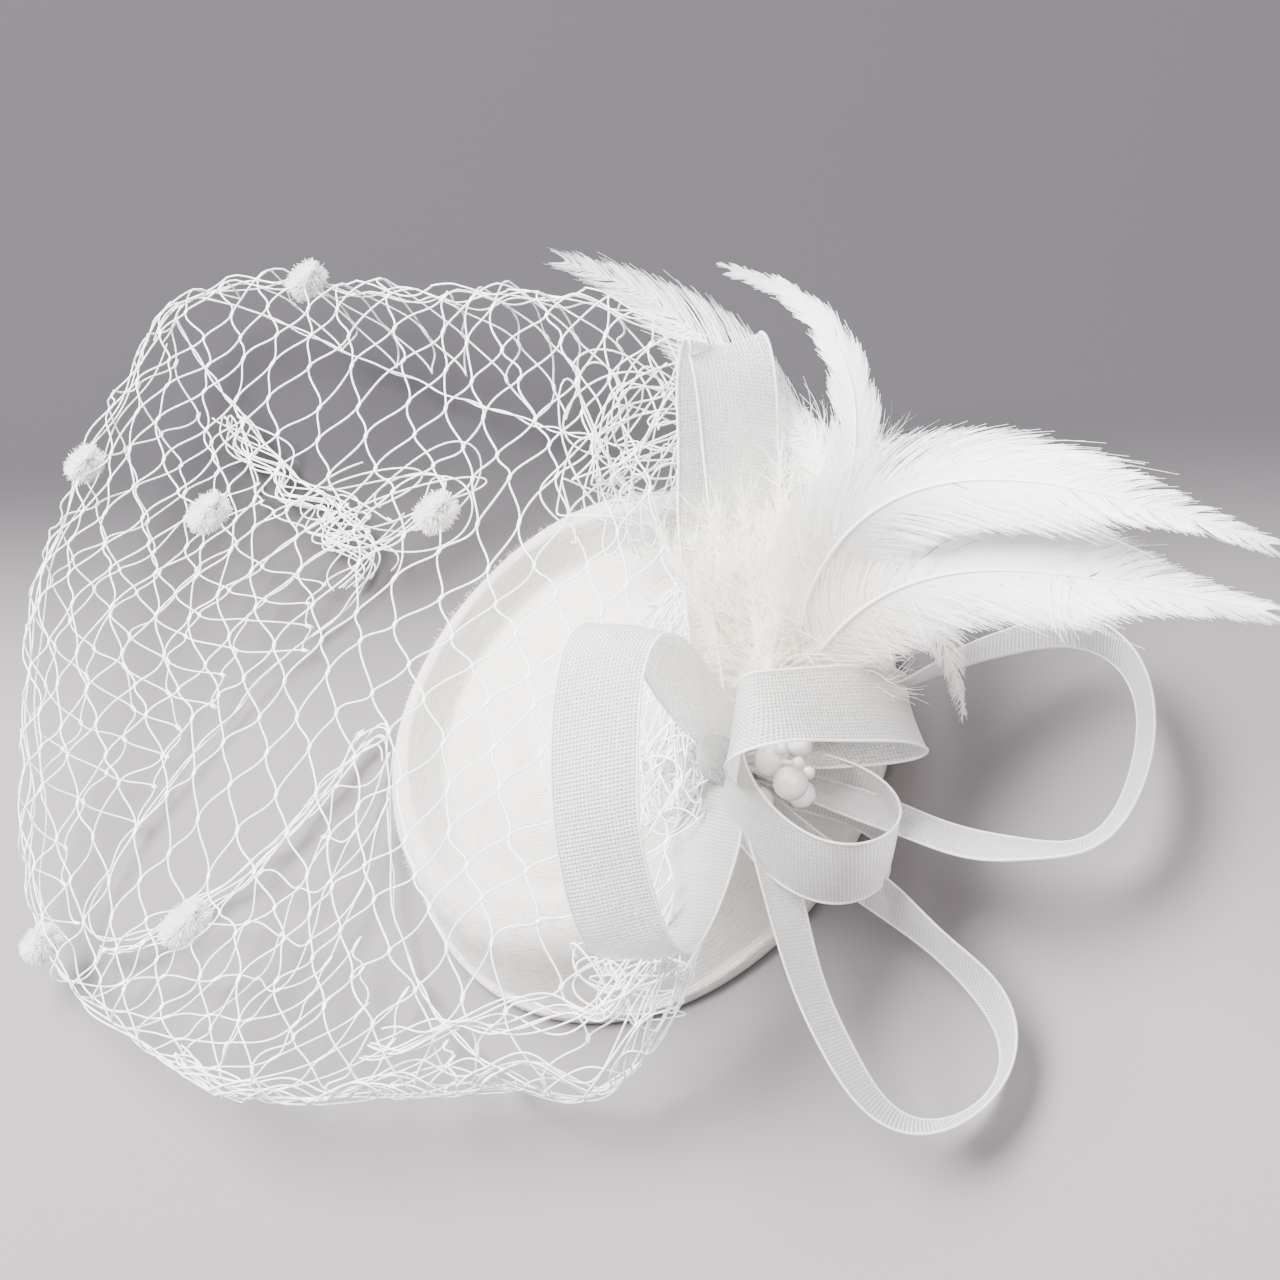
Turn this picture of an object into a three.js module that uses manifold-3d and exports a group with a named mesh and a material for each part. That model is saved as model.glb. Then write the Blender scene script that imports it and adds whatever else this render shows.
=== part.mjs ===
// Small round felt cocktail hat with a gathered net veil, ribbon loops, pearls and feathers.
// Units are millimetres and +Z is up. The hat lies on its hem, with its crown axis along +Z.
import * as THREE from 'three';
import * as BufferGeometryUtils from 'three/addons/utils/BufferGeometryUtils.js';
import Module from 'manifold-3d';

const wasm = await Module();
wasm.setup();

// Felt base: radii and heights of its outer face
const hemRadius = 71.5;
const shoulderRadius = 62.5;
const ridgeRadius = 53.5;
const channelRadius = 46;
const hatHeight = 32;
const channelDepth = 7.4;
const domeRise = 4.6;
const feltThickness = 2.5;
const hemFold = 0.6;
const hemFoldHeight = 4;
const feltSides = 24;

// Bow: where the ribbons are stitched down, and how far their loops reach
const bowHeading = -78;
const bowRadius = 58.3;
const bowLift = 8;
const bowWidth = 13;
const bowHeight = 22;
const bowReach = 100;
const broadRibbon = 22;
const middleRibbon = 19;
const narrowRibbon = 11.5;
const ribbonThickness = 1;
const ribbonGather = 0.4;
const ribbonSteps = 20;

// Pearls on thin stems
const pearlDiameter = 8;
const pearlReach = 24;
const beadDiameter = 3;
const stemDiameter = 1.6;

// Net veil: its surface, then the strands, their bend steps and where the lattice starts
const veilReach = 290;
const veilPuff = 11;
const veilStart = 8.6;
const veilDrop = 3.4;
const netThickness = 1.2;
const netStrand = 2.3;
const netCellWidth = 50;
const netCellHeight = 60;
const netBend = 30;
const netFoldBend = 15;
const netFoldBand = 20;
const netBorderTurn = 4.4;
const netSlant = 22;
const netStartAlong = 0.95;
const netStartAcross = 0.55;
const dotDiameter = 10;

// Feathers
const featherReach = 140;
const featherSpread = 14.5;
const featherThickness = 1.2;
const featherHead = 13;
const locksCount = 6;
const lockLength = 58;
const lockWidth = 14;

// Hair clip under the crown
const clipLength = 46;
const clipWidth = 7;
const clipWire = 1.2;
const clipOpening = 3.4;

// Clearance between pieces that lie on each other
const seatGap = 0.3;

const degrees = Math.PI / 180;
const up = new THREE.Vector3(0, 0, 1);
const bowSeat = new THREE.Vector3(
  bowRadius * Math.cos(bowHeading * degrees),
  bowRadius * Math.sin(bowHeading * degrees),
  hatHeight + bowLift,
);

const fabrics = {
  felt: { color: 0xece8df, roughness: 0.95, metalness: 0 },
  ribbon: { color: 0xf1f1f0, roughness: 0.7, metalness: 0 },
  net: { color: 0xf2f1f3, roughness: 0.8, metalness: 0 },
  chenille: { color: 0xf4f3f2, roughness: 0.95, metalness: 0 },
  pearl: { color: 0xf6f3ee, roughness: 0.15, metalness: 0 },
  feather: { color: 0xf1ebe0, roughness: 0.85, metalness: 0 },
  steel: { color: 0xb9bcc0, roughness: 0.3, metalness: 1 },
};

const part = new THREE.Group();

function addPiece(name, solid, look) {
  const material = new THREE.MeshStandardMaterial(fabrics[look]);
  const mesh = new THREE.Mesh(toGeometry(largestBody(toSolid(toGeometry(solid)))), material);
  mesh.name = name;
  part.add(mesh);
}

// A closed geometry becomes a solid that can be cut and joined.
function toSolid(geometry) {
  const bare = geometry.clone();
  bare.deleteAttribute('normal');
  bare.deleteAttribute('uv');
  const merged = BufferGeometryUtils.mergeVertices(bare, 1e-4);
  const index = merged.index.array;
  const corners = [];
  for (let i = 0; i < index.length; i += 3) {
    const [a, b, c] = [index[i], index[i + 1], index[i + 2]];
    if (a !== b && b !== c && c !== a) corners.push(a, b, c);
  }
  return new wasm.Manifold(new wasm.Mesh({
    numProp: 3,
    vertProperties: new Float32Array(merged.attributes.position.array),
    triVerts: new Uint32Array(corners),
  }));
}

function toGeometry(solid) {
  const mesh = solid.getMesh();
  const geometry = new THREE.BufferGeometry();
  geometry.setAttribute('position', new THREE.BufferAttribute(mesh.vertProperties, 3));
  geometry.setIndex(new THREE.BufferAttribute(mesh.triVerts, 1));
  geometry.computeVertexNormals();
  return geometry;
}

// Cuts can leave crumbs, so only the largest body stays.
function largestBody(solid) {
  const bodies = solid.decompose();
  return bodies.reduce((best, body) => (body.volume() > best.volume() ? body : best));
}

function cutBy(solid, cutters) {
  return cutters.reduce((rest, cutter) => rest.subtract(cutter), solid);
}

// Moves each vertex of a box-like geometry, whose coordinates run along, across and through.
function bend(geometry, place) {
  const position = geometry.attributes.position;
  for (let i = 0; i < position.count; i += 1) {
    const point = place(position.getX(i), position.getY(i), position.getZ(i));
    position.setXYZ(i, point.x, point.y, point.z);
  }
  return geometry;
}

function direction(heading, pitch) {
  const level = Math.cos(pitch * degrees);
  return new THREE.Vector3(
    level * Math.cos(heading * degrees),
    level * Math.sin(heading * degrees),
    Math.sin(pitch * degrees),
  );
}

function smooth(x) {
  const t = Math.min(Math.max(x, 0), 1);
  return t * t * (3 - 2 * t);
}

// Felt base

// The outer face from the crown's centre to the hem, as shares of the radii and heights above
function feltProfile() {
  const channel = hatHeight - channelDepth;
  const dome = hatHeight + domeRise;
  const wall = hemRadius - hemFold - shoulderRadius;
  const rows = [
    { radius: 0, height: dome },
    { radius: 0.3 * channelRadius, height: dome - 0.06 * (dome - channel) },
    { radius: 0.55 * channelRadius, height: dome - 0.22 * (dome - channel) },
    { radius: 0.75 * channelRadius, height: dome - 0.46 * (dome - channel) },
    { radius: 0.9 * channelRadius, height: dome - 0.78 * (dome - channel) },
    { radius: channelRadius, height: channel },
    { radius: channelRadius + 0.42 * (ridgeRadius - channelRadius), height: hatHeight - 0.6 * channelDepth },
    { radius: channelRadius + 0.75 * (ridgeRadius - channelRadius), height: hatHeight - 0.15 * channelDepth },
    { radius: ridgeRadius, height: hatHeight },
    { radius: ridgeRadius + 0.55 * (shoulderRadius - ridgeRadius), height: 0.93 * hatHeight },
    { radius: shoulderRadius, height: 0.77 * hatHeight },
    { radius: shoulderRadius + 0.42 * wall, height: 0.46 * hatHeight },
    { radius: shoulderRadius + 0.86 * wall, height: hemFoldHeight + 0.8 },
    { radius: hemRadius, height: hemFoldHeight },
    { radius: hemRadius, height: 0 },
  ];
  return rows.map((row) => new THREE.Vector2(row.radius, row.height));
}

// The same outline moved along its own normal, in or out
function offsetProfile(profile, distance) {
  return profile.map((point, i) => {
    const before = profile[Math.max(i - 1, 0)];
    const after = profile[Math.min(i + 1, profile.length - 1)];
    const along = after.clone().sub(before).normalize();
    const radius = i === 0 ? 0 : point.x + along.y * -distance;
    return new THREE.Vector2(radius, point.y + along.x * distance);
  });
}

// Turned about the crown's axis
function revolve(profile) {
  const lathe = new THREE.LatheGeometry([...profile].reverse(), feltSides);
  return toSolid(lathe.rotateX(Math.PI / 2));
}

function feltBase() {
  const outer = feltProfile();
  const inner = offsetProfile(outer, -feltThickness);
  inner.pop();
  const insideHem = new THREE.Vector2(hemRadius - hemFold - feltThickness, 0);
  const profile = [...outer, insideHem, ...inner.reverse()];
  return revolve(profile);
}

// The hat's whole outer form, slightly grown, which clears the pieces that lie on it
function feltClearance() {
  const grown = offsetProfile(feltProfile(), seatGap);
  grown[grown.length - 1].y = -1;
  const profile = [...grown, new THREE.Vector2(0, -1)];
  return revolve(profile);
}

// Ribbon loops

const ribbons = [
  {
    name: 'loop_front', width: middleRibbon, reach: 0.47, belly: 0.154, heading: -86.6, pitch: -11.3,
    bank: -142.7, drift: 0.073, twistIn: -25.5, twistMiddle: 14.2, twistOut: -16.9, roundness: 1.1,
  },
  {
    name: 'loop_right', width: middleRibbon, reach: 0.424, belly: -0.262, heading: -46.8, pitch: 16.6,
    bank: -108.6, drift: 0.014, twistIn: -60, twistMiddle: 27.7, twistOut: 4.8, roundness: 0.6,
  },
  {
    name: 'loop_tall', width: middleRibbon, reach: 0.973, belly: -0.04, heading: 31.4, pitch: 24,
    bank: -133.3, drift: 0.081, twistIn: 60, twistMiddle: 2.4, twistOut: -38.7, roundness: 0.6,
  },
  {
    name: 'loop_wide', width: broadRibbon, reach: 0.541, belly: 0.371, heading: -146.4, pitch: 55.8,
    bank: 94.2, drift: 0.007, twistIn: 15.9, twistMiddle: -2.4, twistOut: 10.8, roundness: 0.9,
  },
  {
    name: 'tail_loop_low', width: narrowRibbon, reach: 1, belly: 0.176, heading: -106.5, pitch: -18.3,
    bank: 191, drift: 0.115, twistIn: 50.3, twistMiddle: -1.9, twistOut: 49.4, roundness: 0.6,
  },
  {
    name: 'tail_loop_right', width: narrowRibbon, reach: 0.966, belly: -0.286, heading: -48.1, pitch: -15.2,
    bank: -166.1, drift: 0.12, twistIn: 80, twistMiddle: -30.7, twistOut: -80, roundness: 0.6,
  },
];

// The loop's middle line: out along its heading and back, with a belly to each side
function ribbonPath(row, t) {
  const along = direction(row.heading, row.pitch);
  const level = new THREE.Vector3(-Math.sin(row.heading * degrees), Math.cos(row.heading * degrees), 0);
  const rise = along.clone().cross(level);
  const across = rise.multiplyScalar(Math.cos(row.bank * degrees));
  across.addScaledVector(level, Math.sin(row.bank * degrees));
  const side = across.clone().cross(along);
  const swell = Math.sin(Math.PI * t);
  const out = bowReach * row.reach * swell ** (2 * row.roundness);
  const aside = bowReach * row.belly * Math.sin(2 * Math.PI * t) * swell / 0.77;
  const drift = bowReach * row.drift * (2 * t - 1) * Math.sqrt(swell);
  const point = bowSeat.clone().addScaledVector(along, out);
  point.addScaledVector(side, aside).addScaledVector(across, drift);
  return { point, across };
}

// Place and directions of the ribbon's cross-section at t
function ribbonSection(row, t) {
  const step = 0.004;
  const from = Math.min(Math.max(t, step), 1 - step);
  const { point, across } = ribbonPath(row, from);
  const tangent = ribbonPath(row, from + step).point.sub(ribbonPath(row, from - step).point).normalize();
  const flat = across.clone().addScaledVector(tangent, -across.dot(tangent)).normalize();
  const face = tangent.clone().cross(flat);
  const twist = row.twistIn * (1 - t) ** 2 + row.twistMiddle * 4 * t * (1 - t) + row.twistOut * t ** 2;
  const width = flat.multiplyScalar(Math.cos(twist * degrees));
  width.addScaledVector(face, Math.sin(twist * degrees));
  const gather = ribbonGather + (1 - ribbonGather) * smooth(Math.min(t, 1 - t) / 0.16);
  return { point, width, face: tangent.clone().cross(width), gather };
}

// Half of a loop as a bent strip, grown on all sides by margin
function ribbonHalf(row, from, to, margin) {
  const steps = ribbonSteps / 2;
  const strip = new THREE.BoxGeometry(1, 1, 1, steps, 1, 1);
  const thickness = ribbonThickness + 2 * margin;
  return toSolid(bend(strip, (x, y, z) => {
    const section = ribbonSection(row, from + (to - from) * (x + 0.5));
    const point = section.point.addScaledVector(section.width, y * (row.width * section.gather + 2 * margin));
    return point.addScaledVector(section.face, z * thickness);
  }));
}

function ribbonLoop(row, margin = 0) {
  return ribbonHalf(row, 0, 0.5, margin).add(ribbonHalf(row, 0.5, 1, margin));
}

// Pearls, beads and the stitched middle of the bow

// Places from the bow's seat, as shares of pearlReach
const pearls = [
  { name: 'pearl_1', size: 1, x: 0.27, y: -0.69, z: 0.33 },
  { name: 'pearl_2', size: 1, x: 0.21, y: -1.05, z: 0.33 },
  { name: 'pearl_3', size: 0.83, x: 0.19, y: -0.96, z: 0 },
  { name: 'pearl_4', size: 0.75, x: 0.54, y: -0.72, z: 0.17 },
  { name: 'pearl_5', size: 0.75, x: -0.09, y: -0.76, z: 0.17 },
];
const beads = [
  { name: 'bead_1', size: 1, x: 0.412, y: -0.824, z: 0.472 },
  { name: 'bead_2', size: 1, x: 0.4, y: -1.12, z: 0.5 },
  { name: 'bead_3', size: 1, x: 0.39, y: -1.01, z: 0.17 },
];

function stamenPlace(row) {
  return new THREE.Vector3(row.x, row.y, row.z).multiplyScalar(pearlReach).add(bowSeat);
}

function ball(diameter, place, sides, margin = 0) {
  const sphere = new THREE.SphereGeometry(diameter / 2 + margin, sides, Math.round(sides / 1.5));
  return toSolid(sphere.translate(place.x, place.y, place.z));
}

// A thin stem from the bow's seat that ends just short of its pearl
function stem(row, diameter) {
  const end = stamenPlace(row);
  const span = end.distanceTo(bowSeat) - (row.size * diameter) / 2 - seatGap;
  const rod = new THREE.CylinderGeometry(stemDiameter / 2, stemDiameter / 2, span, 4);
  const turn = new THREE.Quaternion().setFromUnitVectors(
    new THREE.Vector3(0, 1, 0),
    end.sub(bowSeat).normalize(),
  );
  rod.translate(0, span / 2, 0).applyQuaternion(turn).translate(bowSeat.x, bowSeat.y, bowSeat.z);
  return toSolid(rod);
}

function bowBody(margin = 0) {
  const body = new THREE.SphereGeometry(1, 12, 8);
  const radius = bowWidth / 2 + margin;
  body.scale(radius, radius, bowHeight / 2 + margin).translate(bowSeat.x, bowSeat.y, bowSeat.z);
  return toSolid(body);
}

// Feathers

// Length, width and straight stem are shares of the sizes above and of the feather's length.
// Angles are in degrees at the root, with their change past the stem.
const feathers = [
  {
    name: 'feather_plume', length: 1, width: 1.25, stem: 0,
    heading: 8, turn: 90, hook: 26, pitch: 20, lift: -15, arch: 44,
  },
  {
    name: 'feather_quill', length: 0.91, width: 0.8, stem: 0.35,
    heading: -2, turn: 78, hook: 61, pitch: 27, lift: -35, arch: 56,
  },
  {
    name: 'feather_back', length: 0.73, width: 0.9, stem: 0,
    heading: -19, turn: 77, hook: 83, pitch: 26, lift: -67, arch: 80,
  },
  {
    name: 'feather_high', length: 1.28, width: 1.4, stem: 0.23,
    heading: -25, turn: -122, hook: 82, pitch: 42.6, lift: -56, arch: -29,
  },
  {
    name: 'feather_low', length: 1.14, width: 1.5, stem: 0.21,
    heading: -37, turn: -96, hook: 73, pitch: 32.8, lift: -40, arch: -19.5,
  },
  {
    name: 'feather_wisp', length: 0.6, width: 0.7, stem: 0,
    heading: 20, turn: -80, hook: -150, pitch: 22, lift: -50, arch: -45,
  },
];
const featherSteps = 13;
const featherLocks = 6;
const featherFace = new THREE.Vector3(0, -1, 1).normalize();
const featherRoot = new THREE.Vector3(bowWidth, 0, 0).add(bowSeat);

function featherSpine(row) {
  const step = (featherReach * row.length) / featherSteps;
  const points = [featherRoot.clone()];
  for (let i = 0; i < featherSteps; i += 1) {
    const t = Math.max((i + 0.5) / featherSteps - row.stem, 0) / (1 - row.stem);
    const heading = row.heading + row.turn * t + row.hook * t * t;
    const pitch = row.pitch + row.lift * t + row.arch * t * t;
    points.push(points[i].clone().addScaledVector(direction(heading, pitch), step));
  }
  return points;
}

// Bare quill at the root, then the vane, which closes to a point in a few locks
function vaneShare(t) {
  const quill = 0.09;
  const vane = Math.sin(Math.PI * Math.min(1, 0.12 + 0.88 * t) ** 0.9) ** 0.6;
  const lock = 1 - 0.28 * ((t * featherLocks) % 1);
  return quill + (1 - quill) * vane * lock * smooth((t - 0.08) / 0.2) * (1 - 0.85 * smooth((t - 0.8) / 0.2));
}

function feather(row, margin = 0) {
  const spine = featherSpine(row);
  const blade = new THREE.BoxGeometry(1, 1, 1, featherSteps, 2, 1);
  return toSolid(bend(blade, (x, y, z) => {
    const i = Math.round((x + 0.5) * featherSteps);
    const t = i / featherSteps;
    const tangent = spine[Math.min(i + 1, featherSteps)].clone().sub(spine[Math.max(i - 1, 0)]).normalize();
    const across = featherFace.clone().cross(tangent).normalize();
    const normal = tangent.clone().cross(across);
    const breadth = featherSpread * row.width * vaneShare(t) + 2 * margin;
    const thickness = featherThickness * (1 - 0.5 * Math.abs(y)) + 2 * margin;
    const point = spine[i].clone().addScaledVector(across, y * breadth);
    return point.addScaledVector(normal, z * thickness - 0.12 * breadth * Math.abs(y));
  }));
}

// Soft down at the feathers' roots: curved locks joined to one head
function featherFluff() {
  const core = new THREE.SphereGeometry(featherHead / 2, 8, 6);
  let down = toSolid(core.translate(featherRoot.x, featherRoot.y, featherRoot.z));
  for (let i = 0; i < locksCount; i += 1) {
    const share = (i + 0.5) / locksCount;
    const swing = (i * 0.618) % 1;
    const heading = -42 + 108 * swing;
    const pitch = 4 + 56 * share;
    const length = lockLength * (1.05 - 0.45 * share) * (0.8 + 0.3 * ((i * 0.382) % 1));
    const along = direction(heading, pitch);
    const side = along.clone().cross(up).normalize();
    const cone = new THREE.ConeGeometry(lockWidth / 2, length, 5, 3);
    const lock = bend(cone, (x, y, z) => {
      const t = y / length + 0.5;
      const point = featherRoot.clone().addScaledVector(along, length * t);
      point.addScaledVector(side, x).addScaledVector(side.clone().cross(along), z);
      return point.addScaledVector(up, -0.16 * length * t * t);
    });
    down = down.add(toSolid(lock));
  }
  return down;
}

// Net veil

// A row for each section from the bow: its fold is the outer bulge, its edge is tucked under it.
// Headings are in degrees; reaches and heights are shares of veilReach.
const veilSections = [
  { heading: 50, reach: 0.417, height: 0.159, edgeHeading: 55.8, edgeReach: 0.314, edgeHeight: 0.117 },
  { heading: 60.3, reach: 0.507, height: 0.159, edgeHeading: 71, edgeReach: 0.466, edgeHeight: 0.048 },
  { heading: 71.8, reach: 0.628, height: 0.145, edgeHeading: 79.7, edgeReach: 0.634, edgeHeight: 0.028 },
  { heading: 79.2, reach: 0.755, height: 0.131, edgeHeading: 84.1, edgeReach: 0.81, edgeHeight: 0.024 },
  { heading: 89, reach: 1.02, height: 0.097, edgeHeading: 89.1, edgeReach: 1.05, edgeHeight: 0.076 },
  { heading: 98.2, reach: 0.99, height: 0.11, edgeHeading: 92.8, edgeReach: 0.852, edgeHeight: 0.017 },
  { heading: 110, reach: 0.928, height: 0.117, edgeHeading: 95.8, edgeReach: 0.617, edgeHeight: 0.017 },
  { heading: 118.6, reach: 0.879, height: 0.097, edgeHeading: 112.7, edgeReach: 0.707, edgeHeight: 0.017 },
  { heading: 129.4, reach: 0.848, height: 0.052, edgeHeading: 128.2, edgeReach: 0.803, edgeHeight: 0.021 },
  { heading: 140.5, reach: 0.703, height: 0.069, edgeHeading: 129, edgeReach: 0.7, edgeHeight: 0.017 },
  { heading: 146.1, reach: 0.624, height: 0.079, edgeHeading: 121.6, edgeReach: 0.579, edgeHeight: 0.017 },
  { heading: 151.6, reach: 0.566, height: 0.083, edgeHeading: 110, edgeReach: 0.5, edgeHeight: 0.017 },
  { heading: 160.2, reach: 0.448, height: 0.083, edgeHeading: 142, edgeReach: 0.403, edgeHeight: 0.017 },
  { heading: 171.8, reach: 0.338, height: 0.083, edgeHeading: 164, edgeReach: 0.338, edgeHeight: 0.021 },
  { heading: 189.3, reach: 0.276, height: 0.069, edgeHeading: 185.8, edgeReach: 0.272, edgeHeight: 0.048 },
  { heading: 210.3, reach: 0.166, height: 0.124, edgeHeading: 206.6, edgeReach: 0.117, edgeHeight: 0.117 },
];
const veilFirst = veilSections[0].heading;
const veilLast = veilSections[veilSections.length - 1].heading;

// Smooth values between the rows, for one column at a heading
function veilColumn(column, heading) {
  const rows = veilSections;
  let i = 0;
  while (i < rows.length - 2 && rows[i + 1].heading < heading) i += 1;
  const slope = (k) => {
    const before = rows[Math.max(k - 1, 0)];
    const after = rows[Math.min(k + 1, rows.length - 1)];
    return (after[column] - before[column]) / (after.heading - before.heading);
  };
  const span = rows[i + 1].heading - rows[i].heading;
  const t = (heading - rows[i].heading) / span;
  const [a, b] = [rows[i][column], rows[i + 1][column]];
  const bow = t * (1 - t) * span;
  return a + (b - a) * t * t * (3 - 2 * t) + bow * ((1 - t) * slope(i) - t * slope(i + 1));
}

function veilSection(heading) {
  const at = Object.fromEntries(Object.keys(veilSections[0]).map((key) => [key, veilColumn(key, heading)]));
  const place = (angle, reach, height) => new THREE.Vector3(
    bowSeat.x + veilReach * reach * Math.cos(angle * degrees),
    bowSeat.y + veilReach * reach * Math.sin(angle * degrees),
    veilReach * height,
  );
  const fold = place(heading, at.reach, at.height);
  const edge = place(at.edgeHeading, at.edgeReach, at.edgeHeight);
  return { fold, edge, over: veilReach * at.reach, under: fold.distanceTo(edge) * 1.12 };
}

// A point of the veil: length is measured along its section, from the bow over the fold to the edge
function veilPoint(heading, length) {
  const { fold, edge, over, under } = veilSection(heading);
  const start = bowSeat.z - veilDrop;
  if (length <= over) {
    const s = length / over;
    const puff = veilPuff * smooth(s / 0.35) * Math.sqrt(1 - s ** 6);
    const height = start + (fold.z - start) * s ** 1.6 + puff;
    return new THREE.Vector3(
      bowSeat.x + (fold.x - bowSeat.x) * s,
      bowSeat.y + (fold.y - bowSeat.y) * s,
      height,
    );
  }
  const t = Math.min((length - over) / under, 1.2);
  const point = fold.clone().lerp(edge, t ** 1.5);
  point.z = edge.z + (fold.z - edge.z) * Math.max(1 - t, 0) ** 2;
  return point;
}

// The net's outward side: up on the veil's top, level along the fold and down on the tucked part
function veilOutward(heading, length) {
  const step = 0.5;
  const within = Math.min(Math.max(heading, veilFirst + step), veilLast - step);
  const { over } = veilSection(within);
  const around = veilSection(within + step).fold.sub(veilSection(within - step).fold);
  const share = Math.min(Math.max((length - over) / netFoldBand, -1), 1);
  const turn = (Math.PI / 2) * (1 + share);
  const away = around.cross(up).normalize().multiplyScalar(Math.sin(turn));
  return away.addScaledVector(up, Math.cos(turn)).normalize();
}

// The veil is drawn flat, in polar form about the bow, and then laid onto its surface.
function flatPoint(heading, length) {
  return new THREE.Vector2(length * Math.cos(heading * degrees), length * Math.sin(heading * degrees));
}

function flatPolar(x, y) {
  const heading = Math.atan2(y, x) / degrees;
  return { heading: heading < -90 ? heading + 360 : heading, length: Math.hypot(x, y) };
}

function veilSpan(heading) {
  const { over, under } = veilSection(heading);
  return over + under;
}

// How far past the fold a flat point lies
function foldDistance(point) {
  const { heading, length } = flatPolar(point.x, point.y);
  return length - veilSection(Math.min(Math.max(heading, veilFirst), veilLast)).over;
}

function insideVeil(point) {
  const { heading, length } = flatPolar(point.x, point.y);
  return heading > veilFirst && heading < veilLast && length > veilStart && length < veilSpan(heading);
}

// The net's lattice: strands run where u + v or u - v is odd, in half cells along and across.
const netAxis = flatPoint(netSlant, 1);
const netCross = flatPoint(netSlant + 90, 1);
const netPitch = Math.hypot(netCellWidth, netCellHeight) / 2;

function latticePoint(u, v) {
  const point = netAxis.clone().multiplyScalar(((u + netStartAlong) * netCellHeight) / 2);
  return point.addScaledVector(netCross, ((v + netStartAcross) * netCellWidth) / 2);
}

// Moves a flat point along one strand direction until it lies within reach of the nearest strand.
function nearStrand(point, reach) {
  const u = point.dot(netAxis) / (netCellHeight / 2) - netStartAlong;
  const v = point.dot(netCross) / (netCellWidth / 2) - netStartAcross;
  const [sum, difference] = [u + v, u - v].map((x) => 2 * Math.floor(x / 2) + 1 - x);
  const half = Math.min(Math.abs(sum), Math.abs(difference)) / 2;
  const share = Math.max(0, 1 - reach / Math.max(half * netPitch, reach));
  if (Math.abs(sum) < Math.abs(difference)) return latticePoint(u + (sum / 2) * share, v + (sum / 2) * share);
  return latticePoint(u + (difference / 2) * share, v - (difference / 2) * share);
}

// A strand through points of the flat pattern, laid onto the veil and grown by margin
function netStrip(points, thickness, margin) {
  const last = points.length - 1;
  const strip = new THREE.BoxGeometry(1, 1, 1, last, 1, 1);
  return toSolid(bend(strip, (x, y, z) => {
    const i = Math.round((x + 0.5) * last);
    const along = points[Math.min(i + 1, last)].clone().sub(points[Math.max(i - 1, 0)]).normalize();
    const side = new THREE.Vector2(-along.y, along.x);
    const flat = points[i].clone().addScaledVector(side, y * (netStrand + 2 * margin));
    const { heading, length } = flatPolar(flat.x, flat.y);
    const height = z * (thickness + 2 * margin);
    return veilPoint(heading, length).addScaledVector(veilOutward(heading, length), height);
  }));
}

// The stretches of one lattice line that a test keeps, with shorter steps along the fold
function strandRuns(line, from, to, keeps) {
  const runs = [];
  const walk = 1.5;
  let start = null;
  for (let at = from; at <= to; at += walk) {
    const kept = keeps(line(at));
    if (kept && start === null) start = at;
    if (!kept && start !== null) {
      if (at - start > 2 * netStrand) runs.push([start, at - walk]);
      start = null;
    }
  }
  return runs.map(([first, last]) => {
    const points = [line(first)];
    let at = first;
    while (at < last) {
      const bendStep = Math.abs(foldDistance(line(at))) < netFoldBand ? netFoldBend : netBend;
      at = last - at < 1.4 * bendStep ? last : at + bendStep;
      points.push(line(at));
    }
    return points;
  });
}

// Bundled threads: the arc about the bow and the fold on the upper net, the free edge on the tucked
// one, and the gathered sides on both
function veilBorder(tucked) {
  const spread = veilLast - veilFirst;
  const count = Math.ceil(spread / netBorderTurn);
  const headings = Array.from({ length: count + 1 }, (_, i) => veilFirst + (spread * i) / count);
  const inset = netStrand / 2;
  const sides = [[veilFirst, 90], [veilLast, -90]].map(([heading, turn]) => {
    const shift = flatPoint(heading + turn, inset);
    const { over } = veilSection(heading);
    const [from, to] = tucked ? [over, veilSpan(heading)] : [veilStart, over];
    const steps = Math.ceil((to - from) / netFoldBend);
    const step = (to - from) / steps;
    return Array.from({ length: steps + 1 }, (_, i) => flatPoint(heading, from + step * i).add(shift));
  });
  if (tucked) return [headings.map((heading) => flatPoint(heading, veilSpan(heading) - inset)), ...sides];
  const fold = headings.map((heading) => flatPoint(heading, veilSection(heading).over));
  const arc = headings.filter((_, i) => i % 8 === 0).map((heading) => flatPoint(heading, veilStart + inset));
  return [fold, arc, ...sides];
}

// The upper net reaches from the bow to the fold, and the tucked one from the fold to the free edge.
function veilNet(tucked, margin = 0) {
  const reach = 1.4 * veilReach;
  const lines = Math.ceil(reach / netCellWidth) * 2 + 1;
  const keeps = (point) => insideVeil(point) && foldDistance(point) > 0 === tucked;
  const strands = veilBorder(tucked).map((points) => netStrip(points, netThickness * 1.3, margin));
  for (let k = -lines; k <= lines; k += 2) {
    const rising = (at) => latticePoint(k / 2 + at / netPitch, k / 2 - at / netPitch);
    const falling = (at) => latticePoint(k / 2 + at / netPitch, at / netPitch - k / 2);
    for (const points of strandRuns(rising, -reach, reach, keeps)) {
      strands.push(netStrip(points, netThickness, margin));
    }
    for (const points of strandRuns(falling, -reach, reach, keeps)) {
      strands.push(netStrip(points, netThickness * 1.15, margin));
    }
  }
  return strands.reduce((net, strand) => net.add(strand));
}

// Chenille dots on the net: reach is a share of veilReach along the section
const veilDots = [
  { name: 'veil_dot_1', heading: 82.5, reach: 0.84, stretch: 1 },
  { name: 'veil_dot_2', heading: 100.4, reach: 0.95, stretch: 1 },
  { name: 'veil_dot_3', heading: 100.1, reach: 0.71, stretch: 1.15 },
  { name: 'veil_dot_4', heading: 88.7, reach: 0.44, stretch: 1 },
  { name: 'veil_dot_5', heading: 131.3, reach: 0.83, stretch: 1.1 },
  { name: 'veil_dot_6', heading: 135.5, reach: 0.585, stretch: 1.5 },
];

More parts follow.
